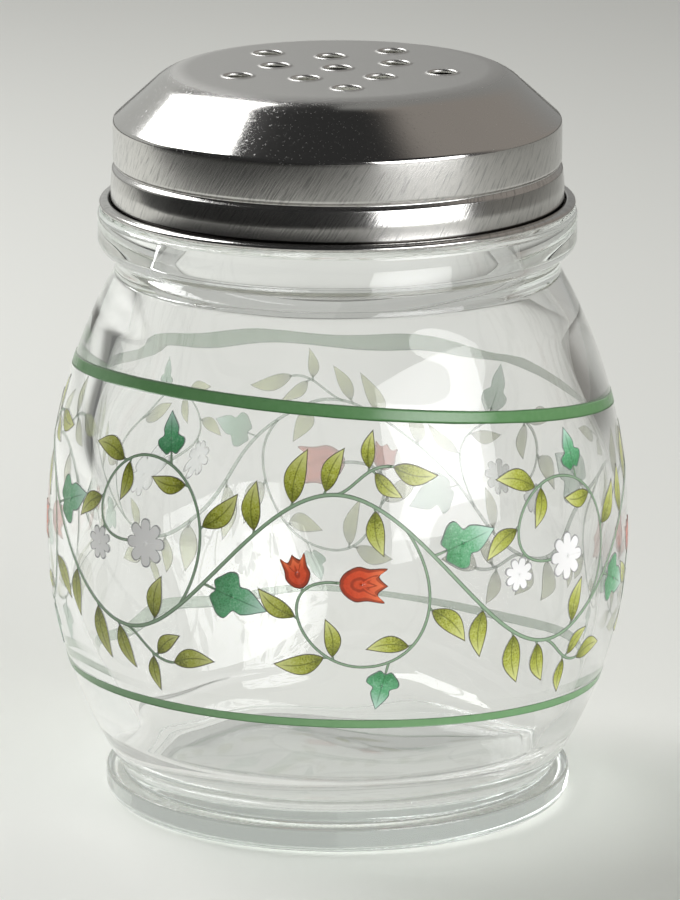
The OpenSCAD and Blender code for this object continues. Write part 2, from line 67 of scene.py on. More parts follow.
def srgb(red: int, green: int, blue: int) -> Colour:
    """Turns a colour as it is seen into linear light.

    Args:
        red: Red from 0 to 255.
        green: Green from 0 to 255.
        blue: Blue from 0 to 255.

    Returns:
        The linear colour with full alpha.
    """
    linear = []
    for channel in (red, green, blue):
        share = channel / 255
        linear.append(share / 12.92 if share <= 0.04045 else ((share + 0.055) / 1.055) ** 2.4)
    return (linear[0], linear[1], linear[2], 1.0)


def grey(level: float) -> Colour:
    """Returns a neutral colour of that linear level."""
    return (level, level, level, 1.0)


def darker(colour: Colour, share: float) -> Colour:
    """Returns that share of a linear colour."""
    return (colour[0] * share, colour[1] * share, colour[2] * share, 1.0)


class Socket:
    """A value in a shader that takes part in Python arithmetic by adding Math nodes."""

    def __init__(self, shader: Shader, source: bpy.types.NodeSocket) -> None:
        """Keeps the shader and the socket that gives the value."""
        self.shader = shader
        self.source = source

    def math(self, operation: str, *terms: Term) -> Socket:
        """Adds a Math node whose first input is this value.

        Args:
            operation: The node's operation.
            *terms: The values or sockets of its further inputs, in order.

        Returns:
            The result.
        """
        return self.shader.node("ShaderNodeMath", dict(enumerate((self, *terms))), operation=operation)

    def after(self, operation: str, first: Term) -> Socket:
        """Adds a Math node whose second input is this value."""
        return self.shader.node("ShaderNodeMath", {0: first, 1: self}, operation=operation)

    def __add__(self, other: Term) -> Socket:
        """Adds."""
        return self.math("ADD", other)

    def __radd__(self, other: Term) -> Socket:
        """Adds from the right."""
        return self.after("ADD", other)

    def __sub__(self, other: Term) -> Socket:
        """Subtracts."""
        return self.math("SUBTRACT", other)

    def __rsub__(self, other: Term) -> Socket:
        """Subtracts from the left value."""
        return self.after("SUBTRACT", other)

    def __mul__(self, other: Term) -> Socket:
        """Multiplies."""
        return self.math("MULTIPLY", other)

    def __rmul__(self, other: Term) -> Socket:
        """Multiplies from the right."""
        return self.after("MULTIPLY", other)

    def __abs__(self) -> Socket:
        """Takes the value without its sign."""
        return self.math("ABSOLUTE")

    def rise(self, low: float, high: float) -> Socket:
        """Rises smoothly from 0 to 1.

        Args:
            low: The value at which it is still 0.
            high: The value at which it reaches 1. If it is less than low, the result falls instead.

        Returns:
            The smooth mask.
        """
        return self.shader.node(
            "ShaderNodeMapRange", {0: self, 1: low, 2: high, 3: 0.0, 4: 1.0},
            interpolation_type="SMOOTHSTEP")

    def within(self, low: float, high: float, soft: float) -> Socket:
        """Returns 1 between two values, with soft edges outside them."""
        return self.rise(low - soft, low) * self.rise(high + soft, high)


Term = Socket | float | tuple[float, ...]


class Shader:
    """The node tree of a material or a world, and the nodes that the finishes are made of."""

    def __init__(self, owner: bpy.types.Material | bpy.types.World) -> None:
        """Empties the owner's node tree.

        Args:
            owner: The material or world that the nodes are made in.
        """
        owner.use_nodes = True
        self.owner = owner
        self.tree = owner.node_tree
        self.tree.nodes.clear()

    def node(self, kind: str, inputs: dict[int | str, Term] | None = None,
             output: int | str = 0, **settings: object) -> Socket:
        """Adds a node.

        Args:
            kind: The node's type name.
            inputs: Values or sockets by input name or number.
            output: Name or number of the output to return.
            **settings: The node's own settings, which are set first.

        Returns:
            The chosen output.
        """
        made = self.tree.nodes.new(kind)
        for name, value in settings.items():
            setattr(made, name, value)
        for key, value in (inputs or {}).items():
            if isinstance(value, Socket):
                self.tree.links.new(value.source, made.inputs[key])
            else:
                made.inputs[key].default_value = value
        return Socket(self, made.outputs[output] if len(made.outputs) else None)

    def mix(self, share: Term, first: Term, second: Term) -> Socket:
        """Blends two colours; share 0 gives the first."""
        return self.node("ShaderNodeMix", {0: share, 6: first, 7: second}, output=2, data_type="RGBA")

    def attribute(self, name: str) -> Socket:
        """Reads a number stored on the mesh."""
        return self.node("ShaderNodeAttribute", {}, "Fac", attribute_name=name)

    def ray(self, question: str) -> Socket:
        """Reads what the light path says of the ray that arrives, such as Is Camera Ray."""
        return self.node("ShaderNodeLightPath", {}, question)

    def place(self) -> Socket:
        """Reads the place on the object, in metres."""
        return self.node("ShaderNodeTexCoord", {}, "Object")

    def split(self, vector: Socket) -> tuple[Socket, Socket, Socket]:
        """Splits a vector into its three parts."""
        x, y, z = self.node("ShaderNodeSeparateXYZ", {0: vector}).source.node.outputs
        return Socket(self, x), Socket(self, y), Socket(self, z)

    def noise(self, vector: Socket, scale: float, detail: float = 2.0, rough: float = 0.5) -> Socket:
        """Adds a noise texture and returns its value, around 0.5."""
        return self.node("ShaderNodeTexNoise",
                         {"Vector": vector, "Scale": scale, "Detail": detail, "Roughness": rough})

    def bump(self, height: Socket, depth: float, strength: float = 1.0) -> Socket:
        """Turns a height from 0 to 1 into a normal; depth is its full height in metres."""
        return self.node("ShaderNodeBump", {"Height": height, "Distance": depth, "Strength": strength})

    def principled(self, **inputs: Term) -> Socket:
        """Adds a Principled surface.

        Args:
            **inputs: The surface's inputs, with underscores for spaces.

        Returns:
            The surface.
        """
        return self.node("ShaderNodeBsdfPrincipled",
                         {name.replace("_", " "): value for name, value in inputs.items()})

    def output(self, surface: Socket, volume: Socket | None = None) -> None:
        """Ends the tree.

        Args:
            surface: The surface, or a world's background.
            volume: What fills the piece, if anything does.
        """
        end = "World" if isinstance(self.owner, bpy.types.World) else "Material"
        inside = {"Volume": volume} if volume else {}
        self.node(f"ShaderNodeOutput{end}", {"Surface": surface} | inside)

    def surface(self, **inputs: Term) -> None:
        """Ends a material in a Principled surface with those inputs."""
        self.output(self.principled(**inputs))


@dataclass(frozen=True)
class Finish:
    """A surface finish that builds its own material.

    In every finish, a field named span holds the two values between which a mask rises from 0 to 1,
    tone is a mask's share of a colour, and rough is a roughness or a mask's share of it.
    """

    name: str

    def shader(self) -> Shader:
        """Starts the finish's material."""
        return Shader(bpy.data.materials.new(self.name))

    def material(self) -> bpy.types.Material:
        """Builds the material. Each finish has its own way."""
        raise NotImplementedError


@dataclass(frozen=True)
class ClearGlass(Finish):
    """Moulded soda-lime glass, faintly green where it is thick."""

    ior: float = 1.5
    absorbed: Colour = (0.84, 0.93, 0.9, 1.0)
    density: float = 9.0
    ripple: float = 0.01 * MM
    ripple_scale: float = 70.0
    let_through: Colour = (0.8, 0.815, 0.805, 1.0)
    turns_inside: float = 3.5

    def material(self) -> bpy.types.Material:
        """Builds the glass; lamps shine through it, and light caught inside gets out.

        Returns:
            The material.
        """
        shader = self.shader()
        ripple = shader.noise(shader.place(), self.ripple_scale, 1.0)
        glass = shader.principled(
            Base_Color=grey(1.0), Roughness=0.0, IOR=self.ior, Transmission_Weight=1.0,
            Normal=shader.bump(ripple, self.ripple))
        absorb = shader.node(
            "ShaderNodeVolumeAbsorption", {"Color": self.absorbed, "Density": self.density})
        clear = shader.node("ShaderNodeBsdfTransparent", {"Color": self.let_through})
        lit = shader.node("ShaderNodeMixShader", {0: shader.ray("Is Shadow Ray"), 1: glass, 2: clear})
        caught = shader.ray("Ray Depth").math("GREATER_THAN", self.turns_inside)
        out = shader.node("ShaderNodeBsdfTransparent", {"Color": grey(1.0)})
        shader.output(shader.node("ShaderNodeMixShader", {0: caught, 1: lit, 2: out}), absorb)
        return shader.owner


@dataclass(frozen=True)
class PressedSteel(Finish):
    """Stainless steel sheet: satin top, grained shoulder, slantwise brushed bands and painted shade in
    the crevice above the hem.

    Roughness and tone follow three noises: fine specks, brush lines on the bands and broad smudges.
    """

    steel: Colour = (0.63, 0.62, 0.6, 1.0)
    smudged: Colour = grey(0.52)
    scored: Colour = grey(0.26)
    # crevice_shade: near-black painted shade for the crevice between the hem's roll and the skirt.
    crevice_shade: Colour = (0.05, 0.046, 0.042, 1.0)
    satin_rough: float = 0.36
    polish_rough: float = 0.12
    band_rough: float = 0.19
    lower_band_share: float = 0.7
    top_edge_r: float = 25.0 * MM
    blend_w: float = 2.5 * MM
    corner_z: float = 108.2 * MM
    groove_z: float = 101.0 * MM
    band_r: float = 35.0 * MM
    brush_across: float = 3600.0
    brush_along: float = 260.0
    brush_lean: float = 32.0
    brush_rough: float = 0.16
    brush_relief: float = 4.4
    brush_span: tuple[float, float] = (0.48, 0.7)
    brush_tone: float = 0.6
    speckle_scale: float = 2600.0
    speckle_relief: float = 1.4
    pit_span: tuple[float, float] = (0.58, 0.74)
    pit_rough: float = 0.2
    smudge_scale: float = 65.0
    smudge_span: tuple[float, float] = (0.35, 0.7)
    smudge_tone: float = 0.1
    smudge_rough: float = 0.05
    relief_depth: float = 0.005 * MM
    relief_strength: float = 0.6
    crevice_r: tuple[float, float] = (36.0 * MM, 35.7 * MM)
    crevice_z: tuple[float, float] = (95.85 * MM, 96.2 * MM)
    crevice_soft: float = 0.25 * MM

    def brush_lines(self, shader: Shader, x: Socket, y: Socket, z: Socket) -> Socket:
        """Unrolls the band, stretched so that a place changes fast across the brushing.

        Args:
            shader: The material's tree.
            x: Place to the right, in metres.
            y: Place to the back.
            z: Height.

        Returns:
            The place, for a noise of scale 1.
        """
        lean = math.radians(self.brush_lean)
        round_the_band = x.math("ARCTAN2", 0.0 - y) * self.band_r
        across = round_the_band * math.cos(lean) - z * math.sin(lean)
        along = round_the_band * math.sin(lean) + z * math.cos(lean)
        return shader.node(
            "ShaderNodeCombineXYZ", {0: across * self.brush_across, 1: along * self.brush_along})

    def material(self) -> bpy.types.Material:
        """Builds the steel, zone by zone from the top's middle down to the hem.

        Returns:
            The material.
        """
        shader = self.shader()
        place = shader.place()
        x, y, z = shader.split(place)
        radius = (x * x + y * y).math("SQRT")
        top = radius.rise(self.top_edge_r + self.blend_w, self.top_edge_r)
        top = top * z.rise(self.corner_z, self.corner_z + self.blend_w)
        band = z.rise(self.corner_z, self.corner_z - self.blend_w / 4)
        upper = z.rise(self.groove_z - self.blend_w / 8, self.groove_z)
        brushed = shader.noise(self.brush_lines(shader, x, y, z), 1.0, 2.0, 0.6)
        speckle = shader.noise(place, self.speckle_scale, 2.0, 0.7)
        smudge = shader.noise(place, self.smudge_scale, 3.0)
        band_share = self.lower_band_share + upper * (1 - self.lower_band_share)
        rough = self.polish_rough + top * (self.satin_rough - self.polish_rough)
        rough = rough + band * band_share * (self.band_rough - self.polish_rough)
        rough = rough + (brushed - 0.5) * band * self.brush_rough + (smudge - 0.5) * self.smudge_rough
        rough = rough + speckle.rise(*self.pit_span) * (1.0 - band) * self.pit_rough
        grained = speckle * self.speckle_relief
        relief = grained + (brushed * self.brush_relief - grained) * band
        shade = shader.mix(smudge.rise(*self.smudge_span) * self.smudge_tone, self.steel, self.smudged)
        shade = shader.mix(brushed.rise(*self.brush_span) * band * self.brush_tone, shade, self.scored)
        # Painted shade: the base colour goes near black in the crevice where the hem's roll meets the
        # skirt.
        crevice = radius.rise(*self.crevice_r) * z.within(*self.crevice_z, self.crevice_soft)
        shade = shader.mix(crevice, shade, self.crevice_shade)
        shader.surface(Base_Color=shade, Metallic=1.0, Roughness=rough,
                       Normal=shader.bump(relief, self.relief_depth, self.relief_strength))
        return shader.owner


@dataclass(frozen=True)
class MouldedPlastic(Finish):
    """Injection-moulded or foamed plastic with a fine grain."""

    body: Colour
    rough: float
    grain_scale: float
    grain_depth: float = 0.02 * MM
    grain_rough: float = 0.2
    mottle_size: float = 20.0
    mottle_tone: float = 0.25
    mottle_dark: float = 0.8

    def material(self) -> bpy.types.Material:
        """Builds the plastic, slightly mottled.

        Returns:
            The material.
        """
        shader = self.shader()
        place = shader.place()
        grain = shader.noise(place, self.grain_scale, 3.0)
        mottle = shader.noise(place, self.grain_scale / self.mottle_size)
        shade = shader.mix(mottle * self.mottle_tone, self.body, darker(self.body, self.mottle_dark))
        shader.surface(Base_Color=shade, Roughness=self.rough + (grain - 0.5) * self.grain_rough,
                       Normal=shader.bump(grain, self.grain_depth, 0.5))
        return shader.owner


@dataclass(frozen=True)
class Enamel(Finish):
    """Fired enamel: an inked edge, a tone that changes along the motif, and stippling.

    The face against the glass is paler, partly as thin enamel looks from behind and partly as a painted
    reflection of the glass over it. The widths of the edge, the vein and the rings are in millimetres, as
    the mesh stores them.
    """

    foot: Colour
    body: Colour
    tip: Colour
    edge: Colour
    edge_w: float = 0.16
    edge_soft: float = 0.06
    body_span: tuple[float, float] = (0.0, 0.5)
    tip_span: tuple[float, float] = (0.45, 0.95)
    dark_share: float = 0.42
    stipple: float = 0.0
    stipple_pitch: float = 0.3 * MM
    dot_size: float = 0.5
    dot_fade: float = 0.42
    dot_span: tuple[float, float] = (0.0, 0.12)
    glint_span: tuple[float, float] = (0.28, 0.5)
    vein: float = 0.0
    vein_w: tuple[float, float] = (0.16, 0.06)
    vein_end: tuple[float, float] = (0.92, 0.7)
    rings: float = 0.0
    ring_span: tuple[float, float] = (0.1, 0.9)
    ring_tone: float = 0.7
    grain_scale: float = 900.0
    grain_level: float = 0.35
    grain_tone: float = 0.35
    grain_depth: float = 0.01 * MM
    grain_rough: float = 0.2
    # back: the colour seen from behind, partly the enamel's own back and partly a painted reflection of
    # the glass over it.
    back: Colour = (0.74, 0.76, 0.73, 1.0)
    back_pale_and_reflection: float = 0.3
    back_cover: float = 0.34
    rough: float = 0.22

    def drawn(self, shader: Shader, along: Socket, rim: Socket) -> Socket:
        """Draws the tones of the motif: dots, a vein, rings and an inked edge, as far as it has them.

        Args:
            shader: The material's tree.
            along: Share of the way from the motif's foot to its tip.
            rim: Distance to the motif's outline, in millimetres.

        Returns:
            The colour.
        """
        dark = darker(self.foot, self.dark_share)
        tone = shader.mix(along.rise(*self.body_span), self.foot, self.body)
        tone = shader.mix(along.rise(*self.tip_span), tone, self.tip)
        if self.stipple:
            dots = shader.node("ShaderNodeTexVoronoi",
                               {"Vector": shader.place(), "Scale": 1 / self.stipple_pitch}, "Distance")
            size = self.dot_size - along * self.dot_fade
            tone = shader.mix((size - dots).rise(*self.dot_span) * self.stipple, tone, dark)
            tone = shader.mix((dots - size).rise(*self.glint_span) * self.stipple * 0.5, tone, self.tip)
        if self.vein:
            line = abs(shader.attribute("side_mm")).rise(*self.vein_w) * along.rise(*self.vein_end)
            tone = shader.mix(line * self.vein, tone, dark)
        if self.rings:
            wave = (rim * self.rings).math("SINE")
            tone = shader.mix(wave.rise(*self.ring_span) * self.ring_tone, tone, dark)
        inked = rim.rise(self.edge_w + self.edge_soft, self.edge_w - self.edge_soft)
        return shader.mix(inked, tone, self.edge)

    def material(self) -> bpy.types.Material:
        """Builds the enamel: the drawn tones under a grain, paler and thinner seen from behind, the
        paleness partly painted reflection.

        Returns:
            The material.
        """
        shader = self.shader()
        tone = self.drawn(shader, shader.attribute("along"), shader.attribute("rim_mm"))
        ink = shader.noise(shader.place(), self.grain_scale, 3.0, 0.6)
        tone = shader.mix((ink - self.grain_level) * self.grain_tone, tone, self.tip)
        facing_in = shader.node("ShaderNodeNewGeometry", {}, "Backfacing")
        behind = facing_in.math("MAXIMUM", shader.attribute("inner"))
        # Seen from behind, blends towards the back colour: partly the enamel's own back, partly a painted
        # reflection of the glass.
        tone = shader.mix(behind * self.back_pale_and_reflection, tone, self.back)
        shader.surface(Base_Color=tone, Roughness=self.rough + (ink - 0.5) * self.grain_rough,
                       Alpha=1.0 - behind * (1 - self.back_cover),
                       Normal=shader.bump(ink, self.grain_depth, 0.5))
        return shader.owner


class Ink(Enum):
    """The colours that are printed on the glass."""

    DARK_GREEN = Enamel("enamel dark green", foot=srgb(92, 136, 88), body=srgb(92, 136, 88),
                        tip=srgb(130, 172, 126), edge=srgb(66, 108, 64), edge_w=0.2)
    MID_GREEN = Enamel("enamel mid green", foot=srgb(112, 156, 108), body=srgb(112, 156, 108),
                       tip=srgb(146, 182, 140), edge=srgb(88, 130, 86), edge_w=0.15)
    STEM = Enamel("enamel stem", foot=srgb(140, 166, 138), body=srgb(140, 166, 138),
                  tip=srgb(168, 190, 164), edge=srgb(96, 116, 96), edge_w=0.12)
    OLIVE = Enamel("enamel olive", foot=srgb(112, 120, 34), body=srgb(166, 172, 66),
                   tip=srgb(208, 212, 140), edge=srgb(84, 80, 66), stipple=0.75, vein=0.6)
    BLUE_GREEN = Enamel("enamel blue green", foot=srgb(66, 142, 88), body=srgb(92, 168, 118),
                        tip=srgb(180, 214, 198), edge=srgb(92, 108, 100), stipple=0.5, vein=0.5)
    RED = Enamel("enamel red", foot=srgb(196, 62, 30), body=srgb(208, 74, 38),
                 tip=srgb(232, 120, 76), edge=srgb(92, 46, 36), rings=5.2, stipple=0.2,
                 back=srgb(232, 176, 164))
    WHITE = Enamel("enamel white", foot=srgb(228, 228, 228), body=srgb(238, 238, 238),
                   tip=srgb(246, 246, 246), edge=srgb(150, 150, 152), edge_w=0.18,
                   back=srgb(214, 216, 212))


def rounded(points: list[tuple[float, ...]], steps: int = 8) -> Outline:
    """Rounds the corners of an outline, each over at most CORNER_SHARE of the sides that it joins.

    Args:
        points: Radius and height, and for a corner that is rounded its radius as a third value.
        steps: Steps of each rounded corner.

    Returns:
        The outline's points, with arcs at its rounded corners.
    """
    made: Outline = []
    for i, point in enumerate(points):
        if len(point) < 3 or i in (0, len(points) - 1):
            made.append((point[0], point[1]))
            continue
        here = Vector(point[:2])
        back = Vector(points[i - 1][:2]) - here
        ahead = Vector(points[i + 1][:2]) - here
        half = back.angle(ahead) / 2
        reach = min(point[2] / math.tan(half), CORNER_SHARE * min(back.length, ahead.length))
        radius = reach * math.tan(half)
        centre = here + (back.normalized() + ahead.normalized()).normalized() * radius / math.sin(half)
        first = here + back.normalized() * reach - centre
        last = here + ahead.normalized() * reach - centre
        sweep = math.pi - 2 * half
        for k in range(steps + 1):
            t = k / steps
            spot = (first * math.sin((1 - t) * sweep) + last * math.sin(t * sweep)) / math.sin(sweep)
            made.append((centre.x + spot.x, centre.y + spot.y))
    return made


def oval(centre: tuple[float, float], half_w: float, half_h: float, start: float, end: float,
         steps: int) -> Outline:
    """Returns points along part of an oval.

    Args:
        centre: Radius and height of its middle.
        half_w: Half its width.
        half_h: Half its height.
        start: Angle of the first point, in degrees from the outward radius.
        end: Angle of the last point.
        steps: Steps between them.

    Returns:
        The points.
    """
    angles = np.radians(np.linspace(start, end, steps + 1))
    return [(centre[0] + half_w * math.cos(a), centre[1] + half_h * math.sin(a)) for a in angles]


def arc(centre: tuple[float, float], radius: float, start: float, end: float, steps: int) -> Outline:
    """Returns points along an arc, its angles in degrees from the outward radius."""
    return oval(centre, radius, radius, start, end, steps)


def linked(name: str, data: bpy.types.ID) -> bpy.types.Object:
    """Makes an object and links it to the scene.

    Args:
        name: The object's name.
        data: Its mesh, lamp or camera.

    Returns:
        The object.
    """
    made = bpy.data.objects.new(name, data)
    bpy.context.scene.collection.objects.link(made)
    return made


def shown(name: str, verts: np.ndarray, faces: list[tuple[int, ...]],
          marks: dict[str, np.ndarray] | None = None) -> bpy.types.Object:
    """Makes a smooth mesh object.

    Args:
        name: The object's name.
        verts: Its points, one row each, in metres.
        faces: The points of each face.
        marks: Numbers stored on the points, by attribute name.

    Returns:
        The object, linked to the scene.
    """
    mesh = bpy.data.meshes.new(name)
    mesh.from_pydata(verts.tolist(), [], faces)
    for key, values in (marks or {}).items():
        mesh.attributes.new(key, "FLOAT", "POINT").data.foreach_set("value", values.astype(np.float32))
    mesh.shade_smooth()
    return linked(name, mesh)


def grid_faces(rows: int, columns: int, start: int, wrap_rows: bool, wrap_columns: bool,
               flip: bool = False) -> list[tuple[int, ...]]:
    """Returns the quads of a grid of points.

    Args:
        rows: Rows of points.
        columns: Points in a row.
        start: Number of the first point.
        wrap_rows: Whether the last row joins the first.
        wrap_columns: Whether each row is a closed ring.
        flip: Whether the faces look the other way.

    Returns:
        Four point numbers for each quad.
    """
    faces = []
    for i in range(rows if wrap_rows else rows - 1):
        below, above = start + i * columns, start + (i + 1) % rows * columns
        for j in range(columns if wrap_columns else columns - 1):
            k = (j + 1) % columns
            quad = (below + j, below + k, above + k, above + j)
            faces.append(quad[::-1] if flip else quad)
    return faces


def declare(piece: bpy.types.Object, body: str, slot: str, *nodes: str) -> None:
    """Hangs a piece on its body, hides the solids that it stands for, and reports it.

    Args:
        piece: The piece.
        body: The body that it rides on.
        slot: The record's material slot, which is only named in the report.
        *nodes: The construction solids that it stands for.
    """
    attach(piece, body)
    if nodes:
        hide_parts(*nodes)
    LOG.info("%s: %d points on %s, slot %s", piece.name, len(piece.data.vertices), body, slot)


@dataclass(frozen=True)
class Barrel:
    """The outside of the glass between the foot and the neck, which the print lies on."""

    belly_r: float = 45.9 * MM
    belly_z: float = 43.0 * MM
    low_r: float = 33.9 * MM
    low_z: float = 4.2 * MM
    high_r: float = 35.195 * MM
    high_z: float = 84.2 * MM

    @staticmethod
    def bowed(top: float, rise: float, drop: float, away: np.ndarray) -> np.ndarray:
        """Returns the radius on a circle that leaves its widest ring upright.

        Args:
            top: Radius at the widest ring.
            rise: Height between the widest ring and the end.
            drop: How much smaller the radius is at the end.
            away: Height from the widest ring at which the radius is wanted.

        Returns:
            The radius there.
        """
        sweep = (rise * rise + drop * drop) / (2 * drop)
        return top - sweep + np.sqrt(sweep * sweep - away * away)

    def radius(self, z: np.ndarray) -> np.ndarray:
        """Finds the outside of the glass.

        Args:
            z: Height of each place.

        Returns:
            The radius there.
        """
        low = self.bowed(self.belly_r, self.belly_z - self.low_z, self.belly_r - self.low_r,
                         np.minimum(z - self.belly_z, 0.0))
        high = self.bowed(self.belly_r, self.high_z - self.belly_z, self.belly_r - self.high_r,
                          np.maximum(z - self.belly_z, 0.0))
        return np.where(z < self.belly_z, low, high)

    def on(self, azimuth: np.ndarray, z: np.ndarray, lift: float) -> np.ndarray:
        """Returns points on the glass.

        Args:
            azimuth: Degrees from the front towards +X.
            z: Height of each point.
            lift: Distance out of the glass.

        Returns:
            One row of x, y and z for each point.
        """
        turn = np.radians(azimuth)
        reach = self.radius(z) + lift
        return np.stack([reach * np.sin(turn), -reach * np.cos(turn), z], -1)

    def degrees(self, arc_length: np.ndarray) -> np.ndarray:
        """Turns a length along the belly into degrees."""
        return np.degrees(arc_length / self.belly_r)


@dataclass
class GlassJar:
    """The moulded jar: foot, barrel, waist, bead and screw finish.

    A crevice is the radius in an inner corner. Each of the inside wall's sways has its share, its
    lobes round the jar, how much it turns with each millimetre up, and where it starts.
    """

    barrel: Barrel
    segments: int = 360
    foot_r: float = 36.9 * MM
    foot_h: float = 4.2 * MM
    foot_round: float = 1.9 * MM
    foot_edge_round: float = 0.5 * MM
    foot_crevice: float = 0.4 * MM
    barrel_start: float = 1.2 * MM
    land_r: float = 32.0 * MM
    land_round: float = 0.4 * MM
    punt_h: float = 1.6 * MM
    punt_share: float = 0.98
    belly_wall: float = 4.6 * MM
    shoulder_wall: float = 4.8 * MM
    floor_z: float = 6.6 * MM
    foot_wall: float = 3.8 * MM
    floor_round: float = 6.0 * MM
    floor_crown: float = 0.84 * MM
    floor_share: float = 0.9
    neck_r: float = 34.9 * MM
    neck_z: float = 85.3 * MM
    neck_round: float = 2.2 * MM
    curve_lean: float = 30.0
    bead_lean: float = 80.0
    bead_r: float = 37.5 * MM
    bead_z: float = 90.0 * MM
    bead_round: float = 2.3 * MM
    bead_edge_round: float = 0.8 * MM
    bead_crevice: float = 0.5 * MM
    ledge_z: float = 94.5 * MM
    ledge_crevice: float = 0.6 * MM
    finish_r: float = 31.9 * MM
    finish_start: float = 3.0 * MM
    finish_end: float = 1.4 * MM
    finish_step: float = 0.16 * MM
    mouth_r: float = 28.7 * MM
    rim_z: float = 108.2 * MM
    rim_round: float = 1.0 * MM
    thread_z: float = 98.6 * MM
    thread_lead: float = 4.2 * MM
    thread_h: float = 1.2 * MM
    thread_root_w: float = 1.9 * MM
    thread_crest_w: float = 0.8 * MM
    thread_turns: float = 1.3
    thread_fade: float = 0.12
    wall_wave: float = 0.2 * MM
    sways: tuple[tuple[float, int, float, float], ...] = (
        (1.0, 3, 0.09, 0.7), (0.7, 5, -0.13, 2.1), (0.5, 8, 0.21, 4.0), (0.6, 2, 0.25, 0.0))
    wave_start: float = 3.0 * MM
    wave_fades: tuple[float, float] = (8.0 * MM, 9.0 * MM)
    cavity_shift: float = 0.9 * MM
    barrel_steps: int = 90
    wall_steps: int = 80
    neck_steps: int = 20
    curve_steps: int = 16
    floor_steps: int = 12
    round_steps: int = 8

    def inner_radius(self, z: np.ndarray) -> np.ndarray:
        """Finds the inside of the glass between the floor's corner and the shoulder.

        Args:
            z: Height of each place.

        Returns:
            The radius there, before the wall's unevenness.
        """
        top_r = self.barrel.belly_r - self.belly_wall
        low_z, high_z = self.floor_z + self.floor_round, self.neck_z - self.neck_round
        low_r = self.barrel.radius(low_z) - self.foot_wall
        high_r = self.barrel.radius(high_z) - self.shoulder_wall
        middle = self.barrel.belly_z
        low = Barrel.bowed(top_r, middle - low_z, top_r - low_r, np.minimum(z - middle, 0.0))
        high = Barrel.bowed(top_r, high_z - middle, top_r - high_r, np.maximum(z - middle, 0.0))
        return np.where(z < middle, low, high)

    def outside(self) -> Outline:
        """Draws the outside of the jar.

        Returns:
            The outline from the middle of the underside up to the rim.
        """
        heights = np.linspace(self.foot_h + self.barrel_start, self.barrel.high_z, self.barrel_steps)
        barrel = [(float(self.barrel.radius(z)), float(z)) for z in heights]
        underside = [(self.land_r * t, self.punt_h * (1 - t * t))
                     for t in np.linspace(0, self.punt_share, self.curve_steps)]
        foot = rounded([
            underside[-1], (self.land_r, 0.0, self.land_round), (self.foot_r, 0.0, self.foot_round),
            (self.foot_r, self.foot_h, self.foot_edge_round),
            (self.barrel.low_r, self.foot_h, self.foot_crevice), barrel[0]])
        waist = arc((self.neck_r + self.neck_round, self.neck_z), self.neck_round,
                    180 + self.curve_lean, 180, self.curve_steps)
        bead = arc((self.bead_r - self.bead_round, self.bead_z), self.bead_round,
                   -self.bead_lean, 0, self.neck_steps)
        bead += arc((self.bead_r - self.bead_edge_round, self.ledge_z - self.bead_edge_round),
                    self.bead_edge_round, 0, 90, self.round_steps)
        under_bead = (self.neck_r, self.bead_z - self.bead_round, self.bead_crevice)
        below = rounded([waist[-1], under_bead, bead[0]])
        start_z, end_z = self.ledge_z + self.finish_start, self.rim_z - self.finish_end
        on_ledge = (self.finish_r, self.ledge_z, self.ledge_crevice)
        ledge = rounded([bead[-1], on_ledge, (self.finish_r, start_z)])
        finish = [(self.finish_r, z) for z in np.arange(start_z, end_z, self.finish_step)]
        rim = arc((self.finish_r - self.rim_round, self.rim_z - self.rim_round), self.rim_round,
                  0, 90, self.round_steps)
        return (underside + foot[1:-1] + barrel + waist[1:] + below[1:-1] + bead + ledge[1:-1]
                + finish + rim)

    def inside(self) -> Outline:
        """Draws the inside of the jar.

        Returns:
            The outline from the rim down to the middle of the floor.
        """
        corner_z = self.floor_z + self.floor_round
        heights = np.linspace(self.neck_z - self.neck_round, corner_z, self.wall_steps)
        wall = [(float(self.inner_radius(z)), float(z)) for z in heights]
        reach = wall[-1][0] - self.floor_round
        rim = arc((self.mouth_r + self.rim_round, self.rim_z - self.rim_round), self.rim_round,
                  90, 180, self.round_steps)
        neck = [((1 - t) ** 2 * self.mouth_r + 2 * t * (1 - t) * self.mouth_r + t * t * wall[0][0],
                 (1 - t) ** 2 * self.bead_z + 2 * t * (1 - t) * self.neck_z + t * t * wall[0][1])
                for t in np.linspace(0, 1, self.neck_steps)]
        bend = arc((reach, corner_z), self.floor_round, 0, -90, self.curve_steps)
        floor = [(reach * t, self.floor_z + self.floor_crown * (1 - t * t))
                 for t in np.linspace(self.floor_share, 0.0, self.floor_steps)]
        return rim + neck + wall[1:] + bend[1:] + floor

    def ridge(self, turn: np.ndarray, z: np.ndarray) -> np.ndarray:
        """Returns how far the screw thread stands out of the finish.

        Args:
            turn: Angle from +X, anticlockwise, from 0 to 1 of a turn.
            z: Height of each point.

        Returns:
            The thread's height there.
        """
        height = np.zeros(np.broadcast(turn, z).shape)
        slope = (self.thread_root_w - self.thread_crest_w) / 2
        for lap in range(math.ceil(self.thread_turns)):
            share = (turn + lap) / self.thread_turns
            fade = np.clip(np.minimum(share, 1 - share) / self.thread_fade, 0, 1)
            away = np.abs(z - self.thread_z - self.thread_lead * (turn + lap))
            form = np.clip((self.thread_root_w / 2 - away) / slope, 0, 1)
            form = form * form * (3 - 2 * form)
            height = np.maximum(height, self.thread_h * form * fade)
        return height

